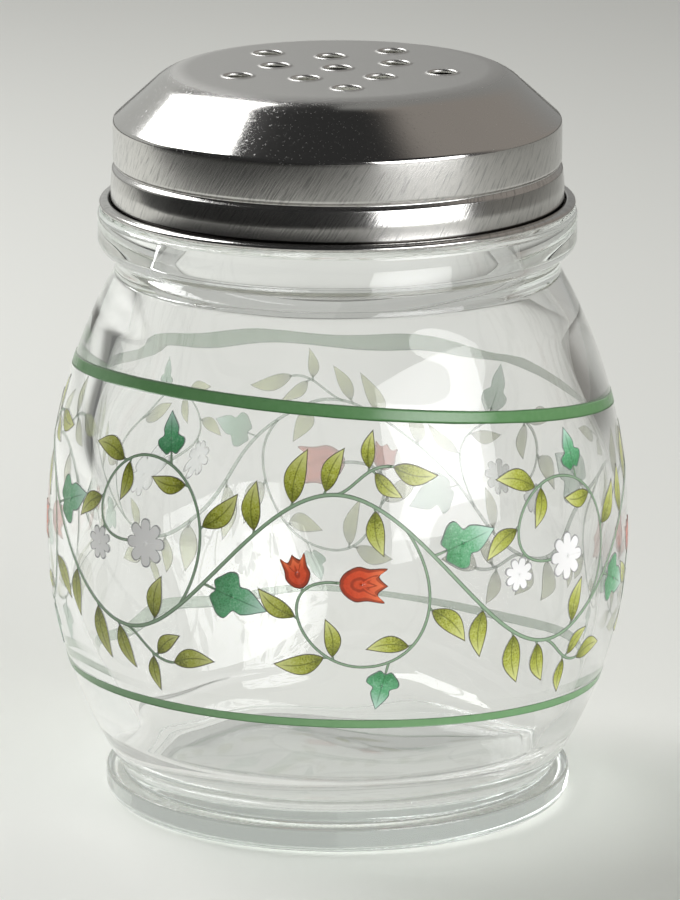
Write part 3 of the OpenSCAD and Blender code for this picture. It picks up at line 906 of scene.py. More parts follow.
    def wave(self, turn: np.ndarray, z: np.ndarray) -> np.ndarray:
        """Finds how uneven the inside wall is: it sways gently, and stands a little to the right.

        Args:
            turn: Angle from +X, anticlockwise, from 0 to 1 of a turn.
            z: Height of each point.

        Returns:
            How far the wall lies further out there.
        """
        angle = turn * 2 * math.pi
        sway = sum(share * np.sin(lobes * angle + z / MM * climb + start)
                   for share, lobes, climb, start in self.sways)
        low = np.clip((z - self.floor_z - self.wave_start) / self.wave_fades[0], 0, 1)
        high = np.clip((self.neck_z - z) / self.wave_fades[1], 0, 1)
        return (self.wall_wave * sway + self.cavity_shift * np.cos(angle)) * low * high

    def build(self) -> bpy.types.Object:
        """Builds the jar as one closed skin of glass.

        Returns:
            The piece.
        """
        outside, inside = self.outside(), self.inside()
        outline = np.array(outside + inside[1:])
        turn = np.arange(self.segments) / self.segments
        r, z = outline[1:-1, :1], outline[1:-1, 1:]
        inner = np.arange(1, len(outline) - 1)[:, None] >= len(outside)
        on_finish = (z > self.ledge_z + self.ledge_crevice) & ~inner
        reach = r + np.where(on_finish, self.ridge(turn, z), 0.0)
        reach = reach + np.where(inner, self.wave(turn, z), 0.0)
        angle = turn * 2 * math.pi
        rings = np.stack([reach * np.cos(angle), reach * np.sin(angle), z + 0 * reach], -1)
        ends = [[0.0, 0.0, outline[0][1]], [0.0, 0.0, outline[-1][1]]]
        verts = np.concatenate([rings.reshape(-1, 3), ends])
        rows = len(outline) - 2
        faces = grid_faces(rows, self.segments, 0, False, True)
        last, middle = (rows - 1) * self.segments, rows * self.segments
        for j in range(self.segments):
            k = (j + 1) % self.segments
            faces.append((middle, k, j))
            faces.append((middle + 1, last + j, last + k))
        jar = shown("clear_jar", verts, faces)
        jar.data.materials.append(ClearGlass("clear glass").material())
        declare(jar, "jar", "clear_glass", "glass_jar")
        return jar


@dataclass
class SteelCap:
    """The pressed cap: flat top with raised holes, sloping shoulder, two bands and a rolled hem.

    The lip's shares run from the hole outwards, each with its share of the lip's width and height.
    Each ring of holes has its number of holes, its radius in millimetres and its first hole's angle.
    """

    segments: int = 360
    hole_segments: int = 40
    sheet: float = 0.36 * MM
    top_z: float = 116.3 * MM
    corner_z: float = 108.5 * MM
    groove_z: float = 101.6 * MM
    hem_z: float = 95.45 * MM
    band_r: float = 35.0 * MM
    skirt_r: float = 35.4 * MM
    hem_r: float = 37.2 * MM
    hem_roll: float = 0.6 * MM
    hem_turn: float = 285.0
    lean: float = 42.0
    top_bend: float = 8.0 * MM
    corner_bend: float = 0.9 * MM
    groove_depth: float = 0.45 * MM
    groove_w: float = 1.3 * MM
    groove_rounds: tuple[float, float, float] = (0.7 * MM, 0.25 * MM, 0.6 * MM)
    skirt_start: float = 3.12 * MM
    skirt_round: float = 9.0 * MM
    bend_steps: int = 20
    roll_steps: int = 44
    tip_steps: int = 6
    hole_r: float = 2.1 * MM
    lip_r: float = 2.8 * MM
    lip_h: float = 0.16 * MM
    lip_shares: tuple[tuple[float, float], ...] = (
        (0.0, -1.0), (0.014, -0.48), (0.054, 0.0), (0.117, 0.41), (0.2, 0.73), (0.296, 0.93), (0.4, 1.0),
        (0.5, 0.93), (0.6, 0.75), (0.7, 0.5), (0.8, 0.25), (0.9, 0.07), (1.0, 0.0))
    flat_margin: float = 0.25 * MM
    rings_of_holes: tuple[tuple[int, float, float], ...] = (
        (1, 0.0, 0.0), (5, 9.9, 24.0), (5, 16.7, 59.0))

    def flat_r(self) -> float:
        """Returns the radius of the flat part of the top."""
        knee = self.band_r - (self.top_z - self.corner_z) / math.tan(math.radians(self.lean))
        return knee - self.top_bend * math.tan(math.radians(self.lean) / 2)

    def skin(self, inset: float) -> Outline:
        """Returns one face of the sheet from the flat top down to the hem's roll.

        Args:
            inset: Distance of the face inwards from the cap's outside.

        Returns:
            The outline, from the top down.
        """
        rest = 90 - self.lean
        corner_run = self.corner_bend * math.tan(math.radians(rest) / 2)
        band, skirt, mid_z = self.band_r - inset, self.skirt_r - inset, self.groove_z
        above, within, under = self.groove_rounds
        bend = arc((self.flat_r(), self.top_z - self.top_bend), self.top_bend - inset,
                   90, rest, self.bend_steps)
        corner = arc((self.band_r - self.corner_bend, self.corner_z - corner_run),
                     self.corner_bend - inset, rest, 0, self.bend_steps // 2)
        bands = rounded([
            corner[-1], (band, mid_z + self.groove_w / 2, above),
            (band - self.groove_depth, mid_z, within),
            (skirt - self.groove_depth / 2, mid_z - self.groove_w / 2, under),
            (skirt, mid_z - self.skirt_start, self.skirt_round), (skirt, self.hem_z)])
        return bend + corner + bands[1:]

    def section(self) -> Outline:
        """Draws the whole section of the sheet.

        Returns:
            The outline from the flat top outside, round the hem and back to the flat top inside.
        """
        bore = self.skirt_r - self.sheet
        centre = ((self.hem_r + bore) / 2, self.hem_z)
        half_w, half_h = (self.hem_r - bore) / 2, self.hem_roll
        end = 180 + self.hem_turn
        inner_roll = oval(centre, half_w - self.sheet, half_h - self.sheet, 180, end, self.roll_steps)
        outer_roll = oval(centre, half_w, half_h, end, 180, self.roll_steps)
        middle = ((inner_roll[-1][0] + outer_roll[0][0]) / 2, (inner_roll[-1][1] + outer_roll[0][1]) / 2)
        tip = arc(middle, math.dist(inner_roll[-1], outer_roll[0]) / 2, end + 180, end, self.tip_steps)
        outer, inner = self.skin(0.0), self.skin(self.sheet)
        return outer[:-1] + inner_roll + tip[1:-1] + outer_roll + inner[::-1][1:]

    def holes(self) -> list[tuple[float, float]]:
        """Finds the sprinkle holes.

        Returns:
            The middle of each.
        """
        spots = []
        for count, reach, first in self.rings_of_holes:
            for i in range(count):
                angle = math.radians(first + 360 * i / count)
                spots.append((reach * MM * math.cos(angle), reach * MM * math.sin(angle)))
        return spots

    def ring(self, mesh: bmesh.types.BMesh, radius: float, z: float, count: int,
             middle: tuple[float, float] = (0.0, 0.0)) -> list[bmesh.types.BMVert]:
        """Adds a ring of points round an upright axis.

        Args:
            mesh: The mesh it belongs to.
            radius: Its radius.
            z: Its height.
            count: Its number of points.
            middle: Where its axis stands.

        Returns:
            The points.
        """
        angles = [2 * math.pi * k / count for k in range(count)]
        return [mesh.verts.new((middle[0] + radius * math.cos(a), middle[1] + radius * math.sin(a), z))
                for a in angles]

    def strip(self, mesh: bmesh.types.BMesh, rings: list[list[bmesh.types.BMVert]]) -> None:
        """Joins rings of points, each to the next, by quads.

        Args:
            mesh: The mesh they belong to.
            rings: The rings, all with the same number of points.
        """
        for first, second in zip(rings, rings[1:]):
            for k in range(len(first)):
                n = (k + 1) % len(first)
                mesh.faces.new((first[k], first[n], second[n], second[k]))

    def plate(self, mesh: bmesh.types.BMesh, loops: list[list[bmesh.types.BMVert]]) -> None:
        """Fills the flat between a ring and the ones inside it.

        Args:
            mesh: The mesh they belong to.
            loops: The outer ring, then the others.
        """
        edges = []
        for loop in loops:
            for k in range(len(loop)):
                pair = (loop[k], loop[(k + 1) % len(loop)])
                edges.append(mesh.edges.get(pair) or mesh.edges.new(pair))
        bmesh.ops.triangle_fill(mesh, use_beauty=True, edges=edges)

    def build(self) -> bpy.types.Object:
        """Builds the cap as one closed sheet with its holes.

        Returns:
            The piece.
        """
        mesh = bmesh.new()
        under_z = self.top_z - self.sheet
        inmost = self.flat_r() - self.flat_margin
        outline = [(inmost, self.top_z), *self.section(), (inmost, under_z)]
        rings = [self.ring(mesh, r, z, self.segments) for r, z in outline]
        self.strip(mesh, rings)
        upper, lower = [rings[0]], [rings[-1]]
        lip_w = self.lip_r - self.hole_r
        for spot in self.holes():
            wall = [(self.lip_r + self.flat_margin, self.top_z)]
            wall += [(self.hole_r + lip_w * across, self.top_z + self.lip_h * up)
                     for across, up in reversed(self.lip_shares)]
            wall += [(self.hole_r, under_z + self.sheet / 8), (self.hole_r + self.sheet / 8, under_z),
                     (self.hole_r + self.flat_margin, under_z)]
            hole = [self.ring(mesh, r, z, self.hole_segments, spot) for r, z in wall]
            self.strip(mesh, hole)
            upper.append(hole[0])
            lower.append(hole[-1])
        self.plate(mesh, upper)
        self.plate(mesh, lower)
        bmesh.ops.recalc_face_normals(mesh, faces=mesh.faces)
        data = bpy.data.meshes.new("pressed_cap")
        mesh.to_mesh(data)
        mesh.free()
        data.shade_smooth()
        data.materials.append(PressedSteel("pressed steel").material())
        cap = linked("pressed_cap", data)
        declare(cap, "lid", "cap_steel", "steel_cap")
        return cap


@dataclass
class InkLayer:
    """Gathers thin closed patches of one ink on the barrel into a mesh."""

    barrel: Barrel
    proud: float = 0.1 * MM
    sunk: float = 0.15 * MM
    verts: list[np.ndarray] = field(default_factory=list)
    faces: list[tuple[int, ...]] = field(default_factory=list)
    marks: dict[str, list[np.ndarray]] = field(
        default_factory=lambda: {"along": [], "rim_mm": [], "side_mm": [], "inner": []})
    count: int = 0

    def add(self, azimuth: np.ndarray, z: np.ndarray, along: np.ndarray, rim: np.ndarray,
            side: np.ndarray, wrap: bool = False, lift: float = 0.0) -> None:
        """Adds a patch from a grid of places on the glass.

        Args:
            azimuth: Degrees from the front, rows along the patch and columns across it.
            z: Height of each place.
            along: Share of the way from the motif's foot to its tip.
            rim: Distance to the motif's outline, in metres.
            side: Distance from the motif's middle line, in metres.
            wrap: Whether the last row joins the first.
            lift: Height above the usual face of the enamel.
        """
        rows, columns = azimuth.shape
        size = rows * columns
        for level in (self.proud + lift, -self.sunk):
            self.verts.append(self.barrel.on(azimuth, z, level).reshape(-1, 3))
        for key, value in (("along", along), ("rim_mm", rim / MM), ("side_mm", side / MM)):
            self.marks[key] += [np.broadcast_to(value, azimuth.shape).ravel()] * 2
        self.marks["inner"] += [np.zeros(size), np.ones(size)]
        out, back = self.count, self.count + size
        self.faces += grid_faces(rows, columns, out, wrap, False, flip=True)
        self.faces += grid_faces(rows, columns, back, wrap, False)
        rims: list[tuple[int, int]] = []
        for i in range(rows if wrap else rows - 1):
            a, b = i * columns, (i + 1) % rows * columns
            rims += [(a, b), (b + columns - 1, a + columns - 1)]
        if not wrap:
            last = (rows - 1) * columns
            for j in range(columns - 1):
                rims += [(j + 1, j), (last + j, last + j + 1)]
        self.faces += [(out + a, out + b, back + b, back + a) for a, b in rims]
        self.count += 2 * size

    def build(self, name: str, ink: Ink, slot: str, node: str) -> bpy.types.Object:
        """Makes the piece of this ink.

        Args:
            name: The piece's name.
            ink: Its finish.
            slot: The record's slot.
            node: The construction solid that it stands for.

        Returns:
            The piece.
        """
        marks = {key: np.concatenate(values) for key, values in self.marks.items()}
        piece = shown(name, np.concatenate(self.verts), self.faces, marks)
        piece.data.materials.append(ink.value.material())
        declare(piece, "jar", slot, node)
        return piece


class Stem(Enum):
    """The stems of one bend that carry leaves."""

    MAIN = 0
    VOLUTE = 1
    SPRAY = 2


@dataclass(frozen=True)
class Sprig:
    """A leaf or flower of each bend: its stem, how far along it, its turn from it and its size."""

    stem: Stem
    share: float
    turn: float
    size: float


@dataclass(frozen=True)
class Spot:
    """A place on the glass that a motif grows from.

    The heading is in degrees from the level, start is how far ahead of the stem's middle line the
    motif begins, and side is 1 or -1 for the side of the stem.
    """

    azimuth: float
    z: float
    heading: float
    start: float
    size: float
    side: int

    def further(self, length: float) -> Spot:
        """Returns the spot with its motif set that much further along."""
        return replace(self, start=self.start + length)


@dataclass
class Border:
    """The fired enamel border: two stripes and a vine between them, one piece for each ink.

    The vine has two bends to a wave. The curves of its stems are in shares of the bend and of half
    the band, and the outlines of its motifs in shares of their length and of half their width. The
    ribbon's, leaf's and motif's shares say where across them their points lie. Each of the uneven
    terms of a stripe's width has its share, its lobes round the jar and where it starts.
    """

    barrel: Barrel
    waves: int = 4
    upper_z: float = 67.3 * MM
    upper_w: float = 1.9 * MM
    upper_tilt: float = 5.2 * MM
    lower_z: float = 21.3 * MM
    lower_w: float = 1.4 * MM
    lower_tilt: float = 2.1 * MM
    high_azimuth: float = -37.0
    stem_w: float = 0.6 * MM
    twig_w: float = 0.45 * MM
    gap: float = 0.35 * MM
    crest: float = 0.5
    volute: tuple[tuple[float, float], ...] = (
        (0.8, 0.29), (0.99, -0.13), (0.88, -0.6), (0.6, -0.6), (0.33, -0.6), (0.2, -0.02), (0.5, -0.05))
    spray: tuple[tuple[float, float], ...] = ((0.49, 0.5), (0.57, 0.52), (0.62, 0.7), (0.74, 0.69))
    olive_size: tuple[float, float] = (8.4 * MM, 3.5 * MM)
    lobed_size: tuple[float, float] = (9.2 * MM, 7.6 * MM)
    lobed_stalk: float = 1.1 * MM
    bud_size: tuple[float, float] = (7.4 * MM, 5.6 * MM)
    daisy_d: float = 7.6 * MM
    leaf_curl: float = 0.09
    olive_sprigs: tuple[Sprig, ...] = (
        Sprig(Stem.MAIN, 0.14, 46, 0.9), Sprig(Stem.MAIN, 0.3, 44, 1.0),
        Sprig(Stem.MAIN, 0.44, 56, 0.85), Sprig(Stem.MAIN, 0.66, -50, 0.85),
        Sprig(Stem.SPRAY, 0.66, 52, 0.68), Sprig(Stem.SPRAY, 0.72, -66, 0.7),
        Sprig(Stem.SPRAY, 1.0, -6, 0.9), Sprig(Stem.VOLUTE, 0.2, 52, 0.95),
        Sprig(Stem.VOLUTE, 0.33, -46, 0.8), Sprig(Stem.VOLUTE, 0.6, 42, 0.95),
        Sprig(Stem.VOLUTE, 0.58, -52, 0.75), Sprig(Stem.VOLUTE, 0.76, 40, 0.85))
    lobed_sprigs: tuple[Sprig, ...] = (
        Sprig(Stem.MAIN, 0.915, 64, 1.0), Sprig(Stem.VOLUTE, 0.42, 56, 0.7))
    flower_sprigs: tuple[Sprig, ...] = (
        Sprig(Stem.VOLUTE, 1.0, 0, 1.0), Sprig(Stem.VOLUTE, 0.88, 58, 0.72))
    lobed_outline: tuple[tuple[float, float], ...] = (
        (0.0, 0.0), (0.04, 0.06), (-0.02, 0.34), (0.06, 0.62), (0.2, 0.96), (0.34, 0.98), (0.44, 0.56),
        (0.58, 0.58), (0.72, 0.44), (0.86, 0.22), (1.0, 0.0))
    bud_outline: tuple[tuple[float, float], ...] = (
        (0.0, 0.0), (0.0, 0.2), (0.1, 0.62), (0.34, 0.98), (0.6, 0.9), (0.96, 0.96), (0.8, 0.5),
        (1.0, 0.0))
    petals: int = 8
    petal_notch: float = 0.62
    petal_bluntness: float = 1.5
    petal_steps: int = 12
    ribbon_shares: tuple[float, ...] = (-1.0, -0.6, 0.0, 0.6, 1.0)
    leaf_shares: tuple[float, ...] = (-1.0, -0.93, -0.8, -0.5, -0.2, 0.0, 0.2, 0.5, 0.8, 0.93, 1.0)
    motif_shares: tuple[float, ...] = (1.0, 0.955, 0.9, 0.8, 0.62, 0.4, 0.2, 0.02)
    motif_rim: float = 0.8
    leaf_steps: int = 22
    leaf_swell: float = 0.8
    leaf_least: float = 0.02 * MM
    leaf_tip_rim: float = 0.6
    main_steps: int = 40
    twig_steps: tuple[tuple[Stem, int], ...] = ((Stem.VOLUTE, 70), (Stem.SPRAY, 20))
    twig_sunk: float = 0.015 * MM
    stalk_steps: int = 5
    stalk_sunk: float = 0.03 * MM
    stalk_overlap: float = 0.5 * MM
    stalk_taper: float = 0.7
    stripe_tone: float = 0.25
    stem_tone: float = 0.4
    uneven_share: float = 0.04
    uneven: tuple[tuple[float, int, float], ...] = ((0.5, 7, 1.0), (0.3, 17, 0.0), (0.2, 41, 2.0))

    def stripe_z(self, azimuth: np.ndarray, upper: bool) -> np.ndarray:
        """Returns the height of the upper or the lower stripe's middle."""
        level, tilt = (self.upper_z, self.upper_tilt) if upper else (self.lower_z, self.lower_tilt)
        return level + tilt * np.cos(np.radians(azimuth - self.high_azimuth))

    def place(self, bend: int, across: np.ndarray, up: np.ndarray) -> tuple[np.ndarray, np.ndarray]:
        """Finds a place in the vine.

        Args:
            bend: Number of the bend; odd bends are turned upside down.
            across: Share of the way along the bend.
            up: Height in shares of half the band, from its middle.

        Returns:
            Azimuth in degrees and height.
        """
        azimuth = (bend + across - 0.5) * 180 / self.waves
        top, bottom = self.stripe_z(azimuth, True), self.stripe_z(azimuth, False)
        return azimuth, (top + bottom) / 2 + self.way(bend) * up * (top - bottom) / 2

    @staticmethod
    def way(bend: int) -> int:
        """Returns 1 for an upright bend and -1 for one that is turned over."""
        return 1 if bend % 2 == 0 else -1

    @staticmethod
    def bezier(points: tuple[tuple[float, float], ...], t: np.ndarray) -> np.ndarray:
        """Follows a cubic curve.

        Args:
            points: The curve's two ends and, between them, its two handles.
            t: Share of the way along it.

        Returns:
            The places there, one row each.
        """
        a, b, c, d = np.array(points)
        t = np.asarray(t, float)[..., None]
        s = 1 - t
        return s ** 3 * a + 3 * s * s * t * b + 3 * s * t * t * c + t ** 3 * d

    def along(self, stem: Stem, t: np.ndarray | float) -> tuple[np.ndarray, np.ndarray]:
        """Finds places along a stem.

        Args:
            stem: The stem.
            t: Share of the way along it.

        Returns:
            How far across the bend, in shares of it, and how high, in shares of half the band.
        """
        t = np.asarray(t, float)
        if stem is Stem.MAIN:
            return t, self.crest * np.sin(np.pi * t)
        if stem is Stem.SPRAY:
            spots = self.bezier(self.spray, t)
        else:
            first = self.bezier(self.volute[:4], np.minimum(2 * t, 1))
            second = self.bezier(self.volute[3:], np.maximum(2 * t - 1, 0))
            spots = np.where((t < 0.5)[..., None], first, second)
        return spots[..., 0], spots[..., 1]

    def heading(self, bend: int, stem: Stem, t: float) -> float:
        """Finds which way a stem runs on the unrolled glass.

        Args:
            bend: Number of the bend.
            stem: The stem.
            t: Share of the way along it.

        Returns:
            Degrees from the level.
        """
        look = 0.01
        ends = [self.place(bend, *self.along(stem, s)) for s in (max(t - look, 0), min(t + look, 1))]
        run = math.radians(float(ends[1][0] - ends[0][0])) * self.barrel.belly_r
        return math.degrees(math.atan2(float(ends[1][1] - ends[0][1]), run))

    def band(self, layer: InkLayer, azimuth: np.ndarray, z: np.ndarray, width: np.ndarray | float,
             closed: bool, lift: float = 0.0) -> None:
        """Adds a ribbon along a line of places.

        Args:
            layer: The ink it belongs to.
            azimuth: Degrees of each place.
            z: Height of each place.
            width: Width of the ribbon, at each place or all along.
            closed: Whether it runs round the jar.
            lift: Height above the usual face of the enamel.
        """
        turns, climb = np.gradient(azimuth), np.gradient(z)
        if closed:
            turns = (np.roll(azimuth, -1) - np.roll(azimuth, 1) + 540) % 360 - 180
            climb = np.roll(z, -1) - np.roll(z, 1)
        run = np.radians(turns) * self.barrel.belly_r
        length = np.hypot(run, climb)
        half = np.broadcast_to(np.asarray(width) / 2, azimuth.shape)[:, None]
        across = np.array(self.ribbon_shares) * half
        spread_az = azimuth[:, None] - self.barrel.degrees(across * (climb / length)[:, None])
        spread_z = z[:, None] + across * (run / length)[:, None]
        along = np.linspace(0, 1, len(z))[:, None]
        tone = np.full_like(along, self.stripe_tone) if closed else along * self.stem_tone
        layer.add(spread_az, spread_z, tone, half - np.abs(across), across, wrap=closed, lift=lift)

    def grown(self, sprigs: tuple[Sprig, ...], ways: tuple[int, ...] = (1, -1)) -> list[Spot]:
        """Finds where each leaf or flower grows.

        Args:
            sprigs: The leaves or flowers of each bend.
            ways: The kinds of bend to fill.

        Returns:
            The spots, bend by bend.
        """
        found = []
        for bend in range(2 * self.waves):
            way = self.way(bend)
            for sprig in sprigs if way in ways else ():
                azimuth, z = self.place(bend, *self.along(sprig.stem, sprig.share))
                heading = self.heading(bend, sprig.stem, sprig.share) + way * sprig.turn
                half_stem = (self.stem_w if sprig.stem is Stem.MAIN else self.twig_w) / 2
                start = self.gap + (half_stem if sprig.share < 1 else 0)
                side = way if sprig.turn > 0 else -way
                found.append(Spot(float(azimuth), float(z), heading, start, sprig.size, side))
        return found

    def laid(self, spot: Spot, ahead: np.ndarray, aside: np.ndarray) -> tuple[np.ndarray, np.ndarray]:
        """Lays lengths along and across a motif onto the glass.

        Args:
            spot: Where the motif grows.
            ahead: Length along it from the stem.
            aside: Length to its left.

        Returns:
            Azimuth and height.
        """
        turn = math.radians(spot.heading)
        run = ahead * math.cos(turn) - aside * math.sin(turn)
        climb = ahead * math.sin(turn) + aside * math.cos(turn)
        return spot.azimuth + self.barrel.degrees(run), spot.z + climb

    def leaves(self) -> InkLayer:
        """Draws the olive leaves, slightly curved and pointed at both ends.

        Returns:
            Their layer.
        """
        layer = InkLayer(self.barrel)
        t = (1 - np.cos(np.pi * np.linspace(0, 1, self.leaf_steps)))[:, None] / 2
        shares = np.array(self.leaf_shares)
        for spot in self.grown(self.olive_sprigs):
            length, width = (full * spot.size for full in self.olive_size)
            half = np.maximum(width / 2 * np.sin(np.pi * t ** self.leaf_swell), self.leaf_least)
            bow = spot.side * self.leaf_curl * length * np.sin(np.pi * t)
            azimuth, z = self.laid(spot, spot.start + length * t, bow + half * shares)
            tips = np.minimum(t, 1 - t) * length * self.leaf_tip_rim
            layer.add(azimuth, z, t, np.minimum(half * (1 - np.abs(shares)), tips), half * shares)
        return layer

    def shaped(self, layer: InkLayer, spot: Spot, outline: np.ndarray, length: float) -> None:
        """Adds a motif as rings that shrink from its outline to its middle.

        Args:
            layer: The ink it belongs to.
            spot: Where it grows.
            outline: Lengths along and across it, one row a point, anticlockwise.
            length: Its whole length.
        """
        middle = outline.mean(0)
        shares = np.array(self.motif_shares)
        loop = np.concatenate([outline, outline[:1]])
        points = middle + shares[:, None] * (loop[:, None, :] - middle)
        reach = np.linalg.norm(loop - middle, axis=1)[:, None]
        azimuth, z = self.laid(spot, spot.start + points[..., 0], points[..., 1])
        along = np.clip(points[..., 0] / length, 0, 1)
        layer.add(azimuth, z, along, (1 - shares) * reach * self.motif_rim, points[..., 1])

    def traced(self, shares: tuple[tuple[float, float], ...], length: float, width: float,
               smooth: int = 4) -> np.ndarray:
        """Mirrors a half outline and rounds it with a curve through its points.

        Args:
            shares: Half outline in shares of the length and of half the width.
            length: The motif's length.
            width: The motif's width.
            smooth: Steps between two points.

        Returns:
            The closed outline, anticlockwise from its foot.
        """
        half = np.array(shares) * (length, width / 2)
        ends = np.concatenate([half[:1], half, half[-1:]])
        curve = []
        for i in range(len(half) - 1):
            a, b, c, d = ends[i:i + 4]
            for t in np.arange(smooth) / smooth:
                curve.append(0.5 * (2 * b + (c - a) * t + (2 * a - 5 * b + 4 * c - d) * t * t
                                    + (3 * b - a - 3 * c + d) * t ** 3))
        curve = np.array(curve + [half[-1]])
        return np.concatenate([curve * (1, -1), curve[-2:0:-1]])

    def stems(self) -> InkLayer:
        """Draws the main stem, the volutes and sprays, and the stalks of the leaves.

        Returns:
            Their layer.
        """
        layer = InkLayer(self.barrel)
        t = np.arange(self.main_steps) / self.main_steps
        bends = range(2 * self.waves)
        main = np.hstack([self.place(bend, *self.along(Stem.MAIN, t)) for bend in bends])
        self.band(layer, main[0], main[1], self.stem_w, True)
        for bend in bends:
            for stem, count in self.twig_steps:
                azimuth, z = self.place(bend, *self.along(stem, np.linspace(0, 1, count)))
                self.band(layer, azimuth, z, self.twig_w, False, lift=-self.twig_sunk)
        stalked = self.grown(self.olive_sprigs) + self.grown(self.flower_sprigs)
        stalked += [spot.further(self.lobed_stalk) for spot in self.grown(self.lobed_sprigs)]
        width = self.twig_w * np.linspace(1.0, self.stalk_taper, self.stalk_steps)
        for spot in stalked:
            ahead = np.linspace(0, spot.start + self.stalk_overlap, self.stalk_steps)
            self.band(layer, *self.laid(spot, ahead, 0 * ahead), width, False, lift=-self.stalk_sunk)
        return layer

    def motifs(self, spots: list[Spot], full: tuple[float, float],
               outline: tuple[tuple[float, float], ...]) -> InkLayer:
        """Draws a motif with an outline of its own at each spot.

        Args:
            spots: Where it grows.
            full: Its full length and width.
            outline: Half its outline, in shares.

        Returns:
            Its layer.
        """
        layer = InkLayer(self.barrel)
        for spot in spots:
            length, width = full[0] * spot.size, full[1] * spot.size
            self.shaped(layer, spot, self.traced(outline, length, width), length)
        return layer

    def lobed(self) -> InkLayer:
        """Draws the blue-green lobed leaves, each on a stalk."""
        spots = [spot.further(self.lobed_stalk) for spot in self.grown(self.lobed_sprigs)]
        return self.motifs(spots, self.lobed_size, self.lobed_outline)

    def buds(self) -> InkLayer:
        """Draws the red buds, on the upright bends."""
        return self.motifs(self.grown(self.flower_sprigs, ways=(1,)), self.bud_size, self.bud_outline)

    def daisies(self) -> InkLayer:
        """Draws the white daisies, on the bends that are turned over.

        Returns:
            Their layer.
        """
        layer = InkLayer(self.barrel)
        for spot in self.grown(self.flower_sprigs, ways=(-1,)):
            size = self.daisy_d * spot.size
            angle = np.linspace(0, 2 * np.pi, self.petal_steps * self.petals, endpoint=False)
            dip = (1 - np.abs(np.cos(angle * self.petals / 2))) ** self.petal_bluntness
            reach = size / 2 * (1 - (1 - self.petal_notch) * dip)
            outline = np.stack([size / 2 + reach * np.cos(angle), reach * np.sin(angle)], -1)
            self.shaped(layer, spot, outline, size)
        return layer

    def stripe(self, upper: bool) -> InkLayer:
        """Draws a stripe, its width slightly uneven as a banding wheel leaves it.

        Args:
            upper: Whether it is the upper one.

        Returns:
            Its layer.
        """
        layer = InkLayer(self.barrel)
        azimuth = np.arange(0, 360, 1.0)
        turn = np.radians(azimuth)
        sway = sum(share * np.sin(lobes * turn + start) for share, lobes, start in self.uneven)
        width = (self.upper_w if upper else self.lower_w) * (1 + self.uneven_share * sway)
        self.band(layer, azimuth, self.stripe_z(azimuth, upper), width, True)
        return layer

    def build(self) -> list[bpy.types.Object]:
        """Builds every ink of the border.

        Returns:
            The pieces.
        """
        return [
            layer.build(name, ink, slot, node) for layer, name, ink, slot, node in (
                (self.stripe(True), "stripe_upper", Ink.DARK_GREEN, "dark_green_enamel", "upper_stripe"),
                (self.stripe(False), "stripe_lower", Ink.MID_GREEN, "mid_green_enamel", "lower_stripe"),
                (self.stems(), "print_stems", Ink.STEM, "stem_enamel", "vine_stems"),
                (self.leaves(), "print_olive_leaves", Ink.OLIVE, "olive_enamel", "olive_leaves"),
                (self.lobed(), "print_lobed_leaves", Ink.BLUE_GREEN, "blue_green_enamel", "lobed_leaves"),
                (self.buds(), "print_buds", Ink.RED, "red_enamel", "red_buds"),
                (self.daisies(), "print_daisies", Ink.WHITE, "white_enamel", "white_daisies"))]


@dataclass
class Closure:
    """The liner and washer inside the cap, which keep their construction solids."""

    nodes: dict[str, bpy.types.Object]
    liner: MouldedPlastic = MouldedPlastic("liner plastic", srgb(236, 235, 228), 0.4, 1800.0)
    washer: MouldedPlastic = MouldedPlastic("washer foam", srgb(228, 226, 214), 0.75, 3000.0)

    def dress(self) -> None:
        """Gives both pieces their finish."""
        for name, finish in (("thread_liner", self.liner), ("sealing_washer", self.washer)):
            data = self.nodes[name].data
            data.materials.clear()
            data.materials.append(finish.material())
            LOG.info("%s: dressed as %s", name, finish.name)


@dataclass(frozen=True)
class Softbox:
    """A rectangular lamp on a stand, placed by direction from the object."""

    name: str
    azimuth: float
    elevation: float
    distance: float
    width: float
    height: float
    radiance: float
    spread: float = 180.0

    def grid_share(self) -> float:
        """Returns how much of the lamp's light a grid of this spread lets out."""
        half = math.radians(self.spread) / 2
        return 1.0 - half / math.tan(half)

    def build(self, aim: Vector) -> bpy.types.Object:
        """Hangs the lamp so that it faces a point.

        Args:
            aim: The point it faces.

        Returns:
            The lamp.
        """
        turn, lift = math.radians(self.azimuth), math.radians(self.elevation)
        way = Vector((math.sin(turn) * math.cos(lift), -math.cos(turn) * math.cos(lift), math.sin(lift)))
        light = bpy.data.lights.new(self.name, "AREA")
        light.shape = "RECTANGLE"
        light.size, light.size_y = self.width, self.height
        light.energy = self.radiance * math.pi * self.width * self.height * self.grid_share()
        light.spread = math.radians(self.spread)
        lamp = linked(self.name, light)
        lamp.location = aim + way * self.distance
        lamp.rotation_euler = (-way).to_track_quat("-Z", "Y").to_euler()
        lamp.visible_camera = False
        return lamp


